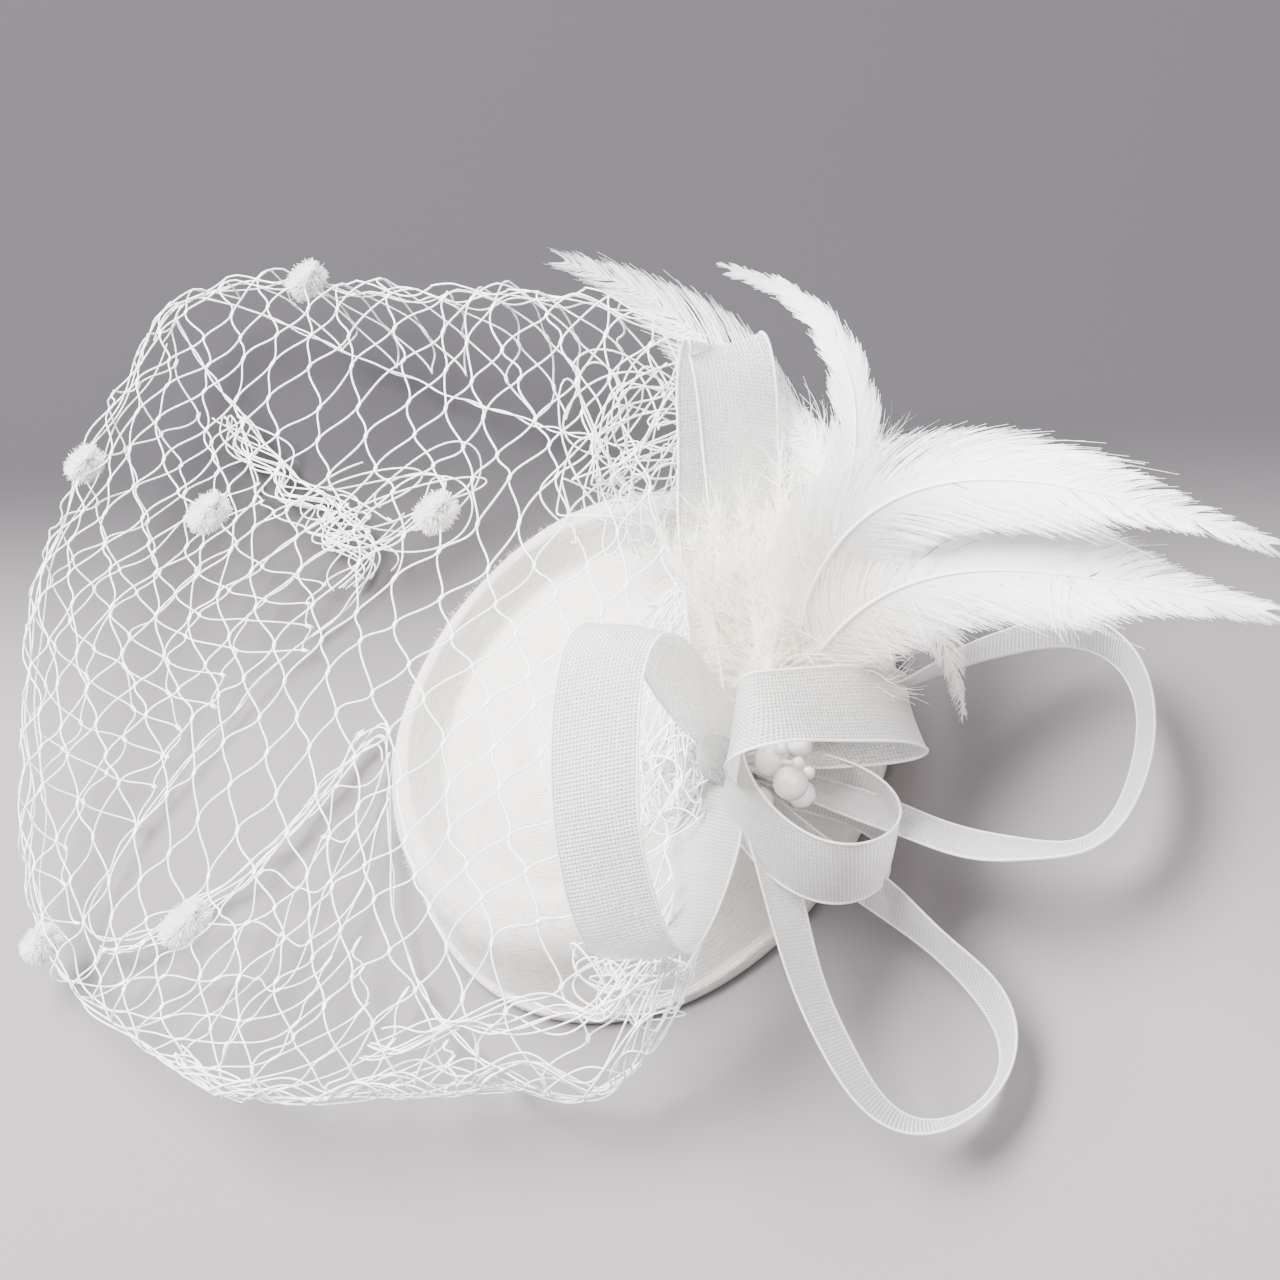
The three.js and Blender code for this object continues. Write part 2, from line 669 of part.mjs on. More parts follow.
function veilDot(row, margin = 0) {
  const flat = nearStrand(flatPoint(row.heading, veilReach * row.reach), dotDiameter / 4);
  const { heading, length } = flatPolar(flat.x, flat.y);
  const place = veilPoint(heading, length);
  const dot = new THREE.SphereGeometry(1, 8, 5);
  const radius = dotDiameter / 2 + margin;
  dot.scale(radius * row.stretch, radius, radius * 0.9).rotateZ(-netSlant * degrees);
  return toSolid(dot.translate(place.x, place.y, place.z));
}

// Hair clip: a folded strip of steel whose upper leg lies under the channel
function hairClip() {
  const half = clipLength / 2;
  const turn = clipOpening / 2 + clipWire;
  const side = new THREE.Shape();
  side.moveTo(half, 0);
  side.lineTo(-half + turn, 0);
  side.absarc(-half + turn, -turn, turn, Math.PI / 2, (3 * Math.PI) / 2, false);
  side.lineTo(half, -2 * turn);
  side.lineTo(half, -2 * turn + clipWire);
  side.lineTo(-half + turn, -2 * turn + clipWire);
  side.absarc(-half + turn, -turn, clipOpening / 2, (3 * Math.PI) / 2, Math.PI / 2, true);
  side.lineTo(half, -clipWire);
  side.closePath();
  const strip = new THREE.ExtrudeGeometry(side, { depth: clipWidth, bevelEnabled: false, curveSegments: 8 });
  const under = hatHeight - channelDepth - feltThickness - seatGap;
  strip.rotateX(Math.PI / 2).translate(0, -channelRadius + clipWidth / 2, under);
  return toSolid(strip);
}

// Assembly: each piece is cut by the room that the earlier ones need.
const taken = [feltClearance()];

addPiece('felt_base', feltBase(), 'felt');
addPiece('hair_clip', hairClip(), 'steel');

const stamens = [
  ...pearls.map((row) => ({ ...row, diameter: pearlDiameter * row.size, sides: 10 })),
  ...beads.map((row) => ({ ...row, diameter: beadDiameter * row.size, sides: 8 })),
];
for (const row of stamens) {
  addPiece(row.name, ball(row.diameter, stamenPlace(row), row.sides), 'pearl');
  taken.push(ball(row.diameter, stamenPlace(row), row.sides, seatGap));
}

const stems = [
  ...pearls.map((row) => stem(row, pearlDiameter)),
  ...beads.map((row) => stem(row, beadDiameter)),
];
const bow = stems.reduce((body, rod) => body.add(rod), bowBody());
const bowCentre = largestBody(cutBy(bow, taken));
addPiece('bow_centre', bowCentre, 'ribbon');
taken.push(bowBody(seatGap));

for (const row of ribbons) {
  addPiece(row.name, largestBody(cutBy(ribbonLoop(row), [...taken, bowCentre])), 'ribbon');
  taken.push(ribbonLoop(row, seatGap));
}

const fluff = largestBody(cutBy(featherFluff(), [...taken, bowCentre]));
addPiece('feather_fluff', fluff, 'feather');
for (const row of feathers) {
  addPiece(row.name, largestBody(cutBy(feather(row), [...taken, bowCentre, fluff])), 'feather');
  taken.push(feather(row, seatGap));
}

for (const row of veilDots) {
  addPiece(row.name, veilDot(row), 'chenille');
  taken.push(veilDot(row, seatGap));
}
addPiece('veil_net', largestBody(cutBy(veilNet(false), [...taken, bowCentre, fluff])), 'net');
addPiece('veil_tuck', largestBody(cutBy(veilNet(true), [...taken, veilNet(false, seatGap)])), 'net');

// The part's origin is under the middle of its box, where it stands.
const box = new THREE.Box3().setFromObject(part, true);
const middle = box.getCenter(new THREE.Vector3());
part.position.set(-middle.x, -middle.y, -box.min.z);

export default part;
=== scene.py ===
"""Small round felt cocktail hat with a gathered net veil, ribbon loops, pearls and feathers."""

import math

import bpy
import numpy as np
from mathutils import Matrix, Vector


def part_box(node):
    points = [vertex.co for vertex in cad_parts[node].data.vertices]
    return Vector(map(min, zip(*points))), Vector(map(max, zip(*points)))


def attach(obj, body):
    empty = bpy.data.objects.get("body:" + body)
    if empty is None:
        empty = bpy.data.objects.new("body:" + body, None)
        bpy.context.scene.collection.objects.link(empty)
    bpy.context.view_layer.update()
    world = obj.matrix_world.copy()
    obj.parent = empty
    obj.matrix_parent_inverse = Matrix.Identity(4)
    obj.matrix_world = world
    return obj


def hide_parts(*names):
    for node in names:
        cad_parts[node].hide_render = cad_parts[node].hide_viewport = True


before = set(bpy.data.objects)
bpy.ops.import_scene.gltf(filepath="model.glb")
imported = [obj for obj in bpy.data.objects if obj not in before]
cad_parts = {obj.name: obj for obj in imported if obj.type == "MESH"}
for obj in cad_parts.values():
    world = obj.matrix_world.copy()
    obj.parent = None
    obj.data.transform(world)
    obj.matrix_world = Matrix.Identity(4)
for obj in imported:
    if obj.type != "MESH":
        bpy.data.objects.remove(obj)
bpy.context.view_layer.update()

# Lengths are in millimetres about the middle of the hat's hem, and to_world moves them to the frame.
MM = 0.001
low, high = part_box("felt_base")
HAT = np.array([(low[0] + high[0]) / 2, (low[1] + high[1]) / 2, 0.0])

HEM_RADIUS = 71.5
SHOULDER_RADIUS = 62.5
RIDGE_RADIUS = 53.5
CHANNEL_RADIUS = 46.0
HAT_HEIGHT = 32.0
CHANNEL_DEPTH = 7.4
DOME_RISE = 4.6
FELT_THICKNESS = 2.5
HEM_FOLD = 0.6
HEM_FOLD_HEIGHT = 4.0

BOW_HEADING = -78.0
BOW_RADIUS = 58.3
BOW_LIFT = 8.0
BOW_REACH = 100.0
BROAD_RIBBON = 22.0
MIDDLE_RIBBON = 19.0
NARROW_RIBBON = 11.5
RIBBON_GATHER = 0.4

PEARL_DIAMETER = 8.0
PEARL_REACH = 24.0
BEAD_DIAMETER = 3.0

VEIL_REACH = 290.0
VEIL_PUFF = 11.0
VEIL_START = 8.6
VEIL_DROP = 3.4
NET_CELL_WIDTH = 17.0
NET_CELL_HEIGHT = 20.0
NET_THREAD = 0.55
NET_FOLD_BAND = 20.0
NET_EDGE_MARGIN = 1.0
NET_SLANT = 22.0
DOT_DIAMETER = 10.0

FEATHER_REACH = 140.0
FEATHER_SPREAD = 14.5
FEATHER_WIDTH_IN = 13.0

seat_angle = math.radians(BOW_HEADING)
SEAT = np.array([BOW_RADIUS * math.cos(seat_angle), BOW_RADIUS * math.sin(seat_angle), HAT_HEIGHT + BOW_LIFT])


def to_world(points):
    """Millimetres about the hat to metres in the frame."""
    return np.asarray(points, float) * MM + HAT


def unit(v):
    """Vectors of length one."""
    return v / np.maximum(np.linalg.norm(v, axis=-1, keepdims=True), 1e-9)


def smooth(x):
    """A soft step from 0 to 1."""
    t = np.clip(x, 0, 1)
    return t * t * (3 - 2 * t)


def direction(heading, pitch):
    """Unit vectors from headings and pitches in degrees."""
    h, p = np.radians(heading), np.radians(pitch)
    return np.stack([np.cos(p) * np.cos(h), np.cos(p) * np.sin(h), np.sin(p) * np.ones_like(h)], -1)


def table(columns, rows):
    """Rows of values as dictionaries with the given columns."""
    return [dict(zip(columns, row)) for row in rows]


def wobble(points, scale, seed, waves=5):
    """Smooth vector noise of about unit size over points, with features of the given length."""
    rng = np.random.default_rng(seed)
    out = np.zeros(points.shape[:-1] + (3,))
    for _ in range(waves):
        way = unit(rng.normal(size=points.shape[-1])) * (2 * math.pi / scale) * (0.6 + 0.8 * rng.random())
        phase = rng.random(3) * 2 * math.pi
        turn = points @ way
        out += np.sin(turn[..., None] + phase) * (0.7 + 0.6 * rng.random(3))
    return out / math.sqrt(waves)


# Meshes

# A direction that no thread runs along, to turn the rings of a tube by
TUBE_REFERENCE = np.array([0.31, 0.22, 0.92])


class Pieces:
    """Collects vertices, faces and a two-value map for one mesh."""

    def __init__(self):
        self.points, self.quads, self.tris, self.maps, self.count = [], [], [], [], 0

    def add(self, points, quads=None, tris=None, uv=None):
        points = np.asarray(points, float).reshape(-1, 3)
        if quads is not None and len(quads):
            self.quads.append(np.asarray(quads).reshape(-1, 4) + self.count)
        if tris is not None and len(tris):
            self.tris.append(np.asarray(tris).reshape(-1, 3) + self.count)
        self.points.append(points)
        self.maps.append(np.zeros((len(points), 2)) if uv is None else np.asarray(uv, float).reshape(-1, 2))
        self.count += len(points)

    def grid(self, points, closed=False, uv=None):
        """A surface from a grid of points, closed along its second direction if asked."""
        n, m = points.shape[:2]
        i, j = np.meshgrid(np.arange(n - 1), np.arange(m if closed else m - 1), indexing="ij")
        a, b = i * m + j, (i + 1) * m + j
        c, d = (i + 1) * m + (j + 1) % m, i * m + (j + 1) % m
        self.add(points, quads=np.stack([a, b, c, d], -1), uv=uv)

    def tubes(self, paths, radius, sides=4):
        """Closed round threads along paths of shape (threads, points, 3)."""
        n, k = paths.shape[:2]
        along = unit(np.gradient(paths, axis=1))
        across = unit(np.cross(along, np.broadcast_to(TUBE_REFERENCE, paths.shape)))
        other = np.cross(across, along)
        turn = np.arange(sides) * 2 * math.pi / sides
        radius = np.broadcast_to(np.asarray(radius, float), (n, k))[..., None, None]
        ring = np.cos(turn)[:, None] * across[:, :, None] + np.sin(turn)[:, None] * other[:, :, None]
        points = paths[:, :, None] + radius * ring
        t, j, s = np.meshgrid(np.arange(n), np.arange(k - 1), np.arange(sides), indexing="ij")
        base = (t * k + j) * sides
        nxt = (s + 1) % sides
        quads = np.stack([base + s, base + nxt, base + sides + nxt, base + sides + s], -1)
        t, s = np.meshgrid(np.arange(n), np.arange(1, sides - 1), indexing="ij")
        first, last = t * k * sides, (t * k + k - 1) * sides
        tris = np.concatenate([
            np.stack([first, first + s + 1, first + s], -1).reshape(-1, 3),
            np.stack([last, last + s, last + s + 1], -1).reshape(-1, 3)])
        self.add(points, quads=quads, tris=tris)

    def strips(self, paths, width, side):
        """Flat hairs along paths, as wide as width, which is one value or one for each point."""
        n, k = paths.shape[:2]
        half = np.broadcast_to(np.asarray(width, float), (n, k))[..., None] / 2
        points = np.stack([paths - side * half, paths + side * half], 2)
        t, j = np.meshgrid(np.arange(n), np.arange(k - 1), indexing="ij")
        base = (t * k + j) * 2
        self.add(points, quads=np.stack([base, base + 1, base + 3, base + 2], -1))

    def build(self, name, material):
        points = to_world(np.concatenate(self.points))
        mesh = bpy.data.meshes.new(name)
        quads = np.concatenate(self.quads) if self.quads else np.zeros((0, 4), int)
        tris = np.concatenate(self.tris) if self.tris else np.zeros((0, 3), int)
        loops = np.concatenate([quads.ravel(), tris.ravel()]).astype(np.int32)
        starts = np.concatenate([np.arange(len(quads)) * 4, len(quads) * 4 + np.arange(len(tris)) * 3])
        mesh.vertices.add(len(points))
        mesh.vertices.foreach_set("co", points.astype(np.float32).ravel())
        mesh.loops.add(len(loops))
        mesh.loops.foreach_set("vertex_index", loops)
        mesh.polygons.add(len(starts))
        mesh.polygons.foreach_set("loop_start", starts.astype(np.int32))
        mesh.polygons.foreach_set("use_smooth", np.full(len(starts), True))
        mesh.update(calc_edges=True)
        maps = np.concatenate(self.maps)
        layer = mesh.uv_layers.new(name="UVMap")
        layer.data.foreach_set("uv", maps[loops].astype(np.float32).ravel())
        mesh.validate()
        mesh.materials.append(material)
        obj = bpy.data.objects.new(name, mesh)
        bpy.context.scene.collection.objects.link(obj)
        return obj


def dress(pieces, name, nodes, material):
    """Builds a piece that stands in for one or several nodes of the frame."""
    obj = pieces.build(name, material)
    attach(obj, "root")
    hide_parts(*([nodes] if isinstance(nodes, str) else nodes))
    return obj


# Materials

class Shader:
    """A node tree with short names for what the materials below need."""

    def __init__(self, name):
        self.material = bpy.data.materials.new(name)
        self.material.use_nodes = True
        self.tree = self.material.node_tree
        self.tree.nodes.clear()
        self.output = self.tree.nodes.new("ShaderNodeOutputMaterial")

    def node(self, kind, inputs=None, **settings):
        made = self.tree.nodes.new(kind)
        for key, value in settings.items():
            setattr(made, key, value)
        for key, value in (inputs or {}).items():
            if isinstance(value, bpy.types.NodeSocket):
                self.tree.links.new(value, made.inputs[key])
            else:
                made.inputs[key].default_value = value
        return made

    def math(self, operation, a, b=0.0):
        return self.node("ShaderNodeMath", {0: a, 1: b}, operation=operation).outputs[0]

    def mix(self, factor, a, b):
        made = self.node("ShaderNodeMix", {0: factor, 6: a, 7: b}, data_type="RGBA")
        return made.outputs[2]

    def noise(self, vector, scale, detail=2.0):
        settings = {"Vector": vector, "Scale": scale, "Detail": detail}
        return self.node("ShaderNodeTexNoise", settings).outputs[0]

    def stretch(self, vector, scale):
        return self.node("ShaderNodeMapping", {"Vector": vector, "Scale": scale}).outputs[0]

    def bump(self, height, distance, strength=1.0, normal=None):
        inputs = {"Height": height, "Distance": distance, "Strength": strength}
        if normal is not None:
            inputs["Normal"] = normal
        return self.node("ShaderNodeBump", inputs).outputs[0]

    def finish(self, surface):
        self.tree.links.new(surface, self.output.inputs[0])
        return self.material


def felt_material():
    """Brushed wool felt with a fine nap that runs round the hat; its darker nap streaks are partly fibre tone
    and partly painted shade.
    """
    s = Shader("wool felt")
    place = s.node("ShaderNodeTexCoord").outputs["Object"]
    uv = s.node("ShaderNodeUVMap").outputs[0]
    cloud = s.noise(place, 28.0, 3.0)
    colour = s.mix(cloud, (0.60, 0.555, 0.505, 1), (0.73, 0.69, 0.64, 1))
    nap = s.noise(s.stretch(uv, (60.0, 900.0, 1.0)), 1.0, 3.0)
    # Darker streaks along the nap: partly the fibres' own tone, partly painted shade.
    colour = s.mix(s.math("MULTIPLY", nap, 0.55), colour, (0.40, 0.365, 0.335, 1))
    fibres = s.noise(place, 1900.0, 3.0)
    lumps = s.noise(place, 160.0, 2.0)
    normal = s.bump(lumps, 0.0012, 0.8)
    normal = s.bump(nap, 0.0009, 0.8, normal)
    normal = s.bump(fibres, 0.0003, 0.7, normal)
    skin = s.node("ShaderNodeBsdfPrincipled", {
        "Base Color": colour, "Roughness": 0.95, "Normal": normal,
        "Sheen Weight": 0.25, "Sheen Roughness": 0.6, "Specular IOR Level": 0.15,
        "Subsurface Weight": 0.15, "Subsurface Scale": 0.002})
    return s.finish(skin.outputs[0])


def fibre_material(name, colour, glow, rough):
    """Thin fibres that let some light through."""
    s = Shader(name)
    skin = s.node("ShaderNodeBsdfPrincipled", {
        "Base Color": colour, "Roughness": rough, "Specular IOR Level": 0.3, "Sheen Weight": 0.2})
    through = s.node("ShaderNodeBsdfTranslucent", {"Color": colour})
    mixed = s.node("ShaderNodeMixShader", {0: glow, 1: skin.outputs[0], 2: through.outputs[0]})
    return s.finish(mixed.outputs[0])


def feather_material():
    """Cream near the bow and white towards the tips."""
    s = Shader("feather")
    place = s.node("ShaderNodeNewGeometry").outputs["Position"]
    root = tuple(to_world(SEAT))
    away = s.node("ShaderNodeVectorMath", {0: place, 1: root}, operation="DISTANCE").outputs["Value"]
    share = s.node("ShaderNodeMapRange", {"Value": away, "From Min": 0.01, "From Max": 0.075}).outputs[0]
    colour = s.mix(share, (0.96, 0.91, 0.83, 1), (0.94, 0.93, 0.915, 1))
    skin = s.node("ShaderNodeBsdfPrincipled", {
        "Base Color": colour, "Roughness": 0.6, "Specular IOR Level": 0.35, "Sheen Weight": 0.3})
    through = s.node("ShaderNodeBsdfTranslucent", {"Color": colour})
    mixed = s.node("ShaderNodeMixShader", {0: 0.5, 1: skin.outputs[0], 2: through.outputs[0]})
    return s.finish(mixed.outputs[0])


def ribbon_material(name, pitch, twill, holes):
    """Open weave: the map runs in millimetres along the ribbon and across it."""
    s = Shader(name)
    uv = s.node("ShaderNodeUVMap").outputs[0]
    drift = s.noise(s.stretch(uv, (0.12, 0.5, 1.0)), 1.0, 2.0)
    along, across = (s.node("ShaderNodeSeparateXYZ", {0: uv}).outputs[k] for k in (0, 1))
    across = s.math("ADD", across, s.math("MULTIPLY", drift, 0.6))
    turn = 2 * math.pi / pitch
    warp = s.math("SINE", s.math("MULTIPLY", across, turn))
    slant = s.math("ADD", s.math("MULTIPLY", along, turn), s.math("MULTIPLY", across, turn * twill))
    weft = s.math("SINE", slant)
    crossing = s.math("MULTIPLY", s.math("MULTIPLY", warp, weft), 0.55)
    weave = s.math("ADD", crossing, s.math("MULTIPLY", warp, 0.3))
    height = s.math("ADD", weave, s.math("MULTIPLY", weft, 0.25))
    yarn = s.noise(s.stretch(uv, (0.35, 2.6, 1.0)), 1.0, 2.0)
    tone = s.mix(yarn, (0.86, 0.845, 0.83, 1), (0.96, 0.95, 0.935, 1))
    # Painted shade: the colour darkens where the weave's height sinks, in the hollows between the yarns.
    colour = s.mix(s.math("ADD", s.math("MULTIPLY", height, 0.35), 0.6), (0.73, 0.715, 0.70, 1), tone)
    normal = s.bump(height, 0.0005, 1.0)
    skin = s.node("ShaderNodeBsdfPrincipled", {
        "Base Color": colour, "Roughness": 0.5, "Normal": normal,
        "Sheen Weight": 0.2, "Specular IOR Level": 0.45})
    through = s.node("ShaderNodeBsdfTranslucent", {"Color": colour, "Normal": normal})
    solid = s.node("ShaderNodeMixShader", {0: 0.5, 1: skin.outputs[0], 2: through.outputs[0]})
    gap = s.math("MULTIPLY", s.math("LESS_THAN", height, -0.25), holes)
    clear = s.node("ShaderNodeBsdfTransparent")
    mixed = s.node("ShaderNodeMixShader", {0: gap, 1: solid.outputs[0], 2: clear.outputs[0]})
    return s.finish(mixed.outputs[0])


def pearl_material():
    """Ivory lustre from a clear coat, with painted shade that darkens the edges as they turn away from the
    camera.
    """
    s = Shader("pearl")
    # Painted shade: the facing term darkens the colour towards blue-grey at the edges.
    edge = s.node("ShaderNodeLayerWeight", {"Blend": 0.35}).outputs["Facing"]
    colour = s.mix(edge, (0.80, 0.765, 0.73, 1), (0.42, 0.42, 0.45, 1))
    skin = s.node("ShaderNodeBsdfPrincipled", {
        "Base Color": colour, "Roughness": 0.2, "Coat Weight": 1.0, "Coat Roughness": 0.05,
        "Subsurface Weight": 0.2, "Subsurface Scale": 0.002, "Specular IOR Level": 0.6})
    return s.finish(skin.outputs[0])


def steel_material():
    """Nickel plated strip with a fine grain."""
    s = Shader("nickel plated steel")
    place = s.node("ShaderNodeTexCoord").outputs["Object"]
    grain = s.noise(s.stretch(place, (60.0, 1800.0, 1800.0)), 1.0, 2.0)
    skin = s.node("ShaderNodeBsdfPrincipled", {
        "Base Color": (0.62, 0.63, 0.65, 1), "Metallic": 1.0, "Roughness": 0.28,
        "Normal": s.bump(grain, 0.00005, 0.4)})
    return s.finish(skin.outputs[0])


def floor_material():
    """A pale studio floor with painted shade that darkens it gently away from the camera."""
    s = Shader("studio floor")
    place = s.node("ShaderNodeNewGeometry").outputs["Position"]
    far = s.node("ShaderNodeVectorMath", {0: place, 1: tuple(PHOTO_UP)}, operation="DOT_PRODUCT")
    share = s.node("ShaderNodeMapRange", {
        "Value": far.outputs["Value"], "From Min": FLOOR_FADE[0], "From Max": FLOOR_FADE[1]},
        interpolation_type="SMOOTHSTEP")
    # Painted shade: the floor's colour darkens along PHOTO_UP, away from the camera.
    colour = s.mix(share.outputs[0], FLOOR_NEAR, FLOOR_FAR_PAINTED_SHADE)
    skin = s.node("ShaderNodeBsdfPrincipled", {
        "Base Color": colour, "Roughness": 0.75, "Specular IOR Level": 0.1})
    return s.finish(skin.outputs[0])


# Camera's place and axes, about the middle of the hat's hem
CAMERA_PLACE = np.array([21.6, -541.0, 589.7])
PHOTO_RIGHT = np.array([0.6157, -0.5668, -0.5474])
PHOTO_UP = np.array([0.7880, 0.4429, 0.4277])
TO_CAMERA = np.array([0.0, -0.6947, 0.7193])

# Floor's colours near the camera and far from it, the far one darkened as painted shade, and where along
# PHOTO_UP they blend, in metres
FLOOR_NEAR = (0.138, 0.124, 0.128, 1)
FLOOR_FAR_PAINTED_SHADE = (0.0225, 0.0203, 0.0232, 1)
FLOOR_FADE = (-0.01, 0.085)

FELT = felt_material()
FUZZ = fibre_material("felt fuzz", (0.78, 0.75, 0.70, 1), 0.4, 0.9)
RIBBON = ribbon_material("sinamay ribbon", 0.95, 0.8, 0.3)
RIBBON_FINE = ribbon_material("narrow sinamay ribbon", 0.9, -0.9, 0.3)
THREAD = fibre_material("net thread", (0.90, 0.90, 0.91, 1), 0.25, 0.5)
CHENILLE = fibre_material("chenille", (0.92, 0.92, 0.91, 1), 0.45, 0.9)
FEATHER = feather_material()
PEARL = pearl_material()
STEEL = steel_material()


# Felt base

def felt_profile():
    """Radius and height of the felt's outer face, from the dome's middle to the hem."""
    channel, dome = HAT_HEIGHT - CHANNEL_DEPTH, HAT_HEIGHT + DOME_RISE
    wall = HEM_RADIUS - HEM_FOLD - SHOULDER_RADIUS
    drop, rim, shoulder = dome - channel, RIDGE_RADIUS - CHANNEL_RADIUS, SHOULDER_RADIUS - RIDGE_RADIUS
    rows = [
        (0, dome), (0.3 * CHANNEL_RADIUS, dome - 0.06 * drop), (0.55 * CHANNEL_RADIUS, dome - 0.22 * drop),
        (0.75 * CHANNEL_RADIUS, dome - 0.46 * drop), (0.9 * CHANNEL_RADIUS, dome - 0.78 * drop),
        (CHANNEL_RADIUS, channel), (CHANNEL_RADIUS + 0.42 * rim, HAT_HEIGHT - 0.6 * CHANNEL_DEPTH),
        (CHANNEL_RADIUS + 0.75 * rim, HAT_HEIGHT - 0.15 * CHANNEL_DEPTH), (RIDGE_RADIUS, HAT_HEIGHT),
        (RIDGE_RADIUS + 0.55 * shoulder, 0.93 * HAT_HEIGHT), (SHOULDER_RADIUS, 0.77 * HAT_HEIGHT),
        (SHOULDER_RADIUS + 0.42 * wall, 0.46 * HAT_HEIGHT),
        (SHOULDER_RADIUS + 0.86 * wall, HEM_FOLD_HEIGHT + 0.8)]
    return np.array(rows, float)


def rounded(points, per_span=8):
    """A smooth curve through the points."""
    ends = np.vstack([2 * points[0] - points[1], points, 2 * points[-1] - points[-2]])
    out = []
    for i in range(1, len(ends) - 2):
        a, b, c, d = ends[i - 1:i + 3]
        for t in np.arange(per_span) / per_span:
            out.append(0.5 * (2 * b + (c - a) * t + (2 * a - 5 * b + 4 * c - d) * t ** 2
                              + (3 * b - a - 3 * c + d) * t ** 3))
    out.append(points[-1])
    return np.array(out)


def offset(curve, distance):
    """The profile moved sideways, for the inner face."""
    along = unit(np.gradient(curve, axis=0))
    moved = curve + distance * np.stack([-along[:, 1], along[:, 0]], -1)
    moved[:, 0] = np.maximum(moved[:, 0], 0.05)
    return moved


def felt_base():
    """The hollow felt shell with its folded hem; returns the outer profile."""
    outer = rounded(felt_profile())
    outer[0, 0] = 0.05
    fold = np.array([
        (HEM_RADIUS - 0.35, HEM_FOLD_HEIGHT + 0.35), (HEM_RADIUS, HEM_FOLD_HEIGHT - 0.4),
        (HEM_RADIUS + 0.1, 2.0), (HEM_RADIUS - 0.1, 0.7), (HEM_RADIUS - 0.7, 0.05),
        (HEM_RADIUS - 2.2, 0.0), (HEM_RADIUS - 3.0, 0.5)])
    inner = offset(outer, -FELT_THICKNESS)[::-1]
    curve = np.vstack([outer, fold, inner])
    turns = 240
    angle = np.arange(turns) * 2 * math.pi / turns
    ring = np.stack([np.cos(angle), np.sin(angle)], -1)
    points = np.concatenate([
        curve[:, None, :1] * ring[None], np.broadcast_to(curve[:, None, 1:], (len(curve), turns, 1))], -1)
    shape = wobble(points, 55.0, 3)
    soft = smooth(points[..., 2:] / 6)
    points = points + shape * 0.35 * soft
    around = np.broadcast_to(angle[None] / (2 * math.pi), (len(curve), turns))
    down = np.broadcast_to((np.arange(len(curve)) / len(curve))[:, None], (len(curve), turns))
    pieces = Pieces()
    pieces.grid(points, closed=True, uv=np.stack([around, down], -1))
    dress(pieces, "felt_shell", "felt_base", FELT)
    return curve[:len(outer) + 3]


def felt_fuzz(curve):
    """Short loose wool fibres that stand off the felt's outer face."""
    rng = np.random.default_rng(11)
    count, steps = 15000, 4
    pick = rng.random(count) * (len(curve) - 2)
    i = pick.astype(int)
    spot = curve[i] + (curve[i + 1] - curve[i]) * (pick - i)[:, None]
    slope = unit(curve[i + 1] - curve[i])
    weight = rng.random(count) < spot[:, 0] / HEM_RADIUS
    spot, slope = spot[weight], slope[weight]
    angle = rng.random(len(spot)) * 2 * math.pi
    out = np.stack([np.cos(angle), np.sin(angle), np.zeros_like(angle)], -1)
    normal = out * -slope[:, 1:] + np.array([0, 0, 1.0]) * slope[:, :1]
    place = out * spot[:, :1] + np.array([0, 0, 1.0]) * spot[:, 1:]
    lie = unit(rng.normal(size=normal.shape))
    reach = (0.5 + 1.1 * rng.random(len(spot)))[:, None, None]
    t = np.linspace(0, 1, steps)[None, :, None]
    paths = place[:, None] + reach * (normal[:, None] * 0.55 * np.sin(t * 2.2) + lie[:, None] * t * 0.9)
    side = unit(np.cross(normal, lie))[:, None]
    pieces = Pieces()
    pieces.strips(paths, np.linspace(0.07, 0.03, steps), side)
    obj = pieces.build("felt_fuzz", FUZZ)
    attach(obj, "root")
    return obj


# Ribbon loops

# Reach, belly and drift are shares of BOW_REACH, and heading, pitch, bank and twists are in degrees.
RIBBONS = table(
    ("name", "width", "reach", "belly", "heading", "pitch", "bank", "drift", "twists", "roundness"), [
        ("loop_front", MIDDLE_RIBBON, 0.47, 0.154, -86.6, -11.3, -142.7, 0.073, (-25.5, 14.2, -16.9), 1.1),
        ("loop_right", MIDDLE_RIBBON, 0.424, -0.262, -46.8, 16.6, -108.6, 0.014, (-60, 27.7, 4.8), 0.6),
        ("loop_tall", MIDDLE_RIBBON, 0.973, -0.04, 31.4, 24, -133.3, 0.081, (60, 2.4, -38.7), 0.6),
        ("loop_wide", BROAD_RIBBON, 0.541, 0.371, -146.4, 55.8, 94.2, 0.007, (15.9, -2.4, 10.8), 0.9),
        ("tail_loop_low", NARROW_RIBBON, 1.0, 0.176, -106.5, -18.3, 191, 0.115, (50.3, -1.9, 49.4), 0.6),
        ("tail_loop_right", NARROW_RIBBON, 0.966, -0.286, -48.1, -15.2, -166.1, 0.12, (80, -30.7, -80), 0.6)])


def ribbon_path(row, t):
    """The middle line of a ribbon loop, out from the bow and back."""
    along = direction(row["heading"], row["pitch"])
    heading = math.radians(row["heading"])
    level = np.array([-math.sin(heading), math.cos(heading), 0])
    rise = np.cross(along, level)
    bank = math.radians(row["bank"])
    across = rise * math.cos(bank) + level * math.sin(bank)
    side = np.cross(across, along)
    swell = np.maximum(np.sin(math.pi * t), 1e-6)
    out = BOW_REACH * row["reach"] * swell ** (2 * row["roundness"])
    aside = BOW_REACH * row["belly"] * np.sin(2 * math.pi * t) * swell / 0.77
    drift = BOW_REACH * row["drift"] * (2 * t - 1) * np.sqrt(swell)
    point = SEAT + out[:, None] * along + aside[:, None] * side + drift[:, None] * across
    return point, across


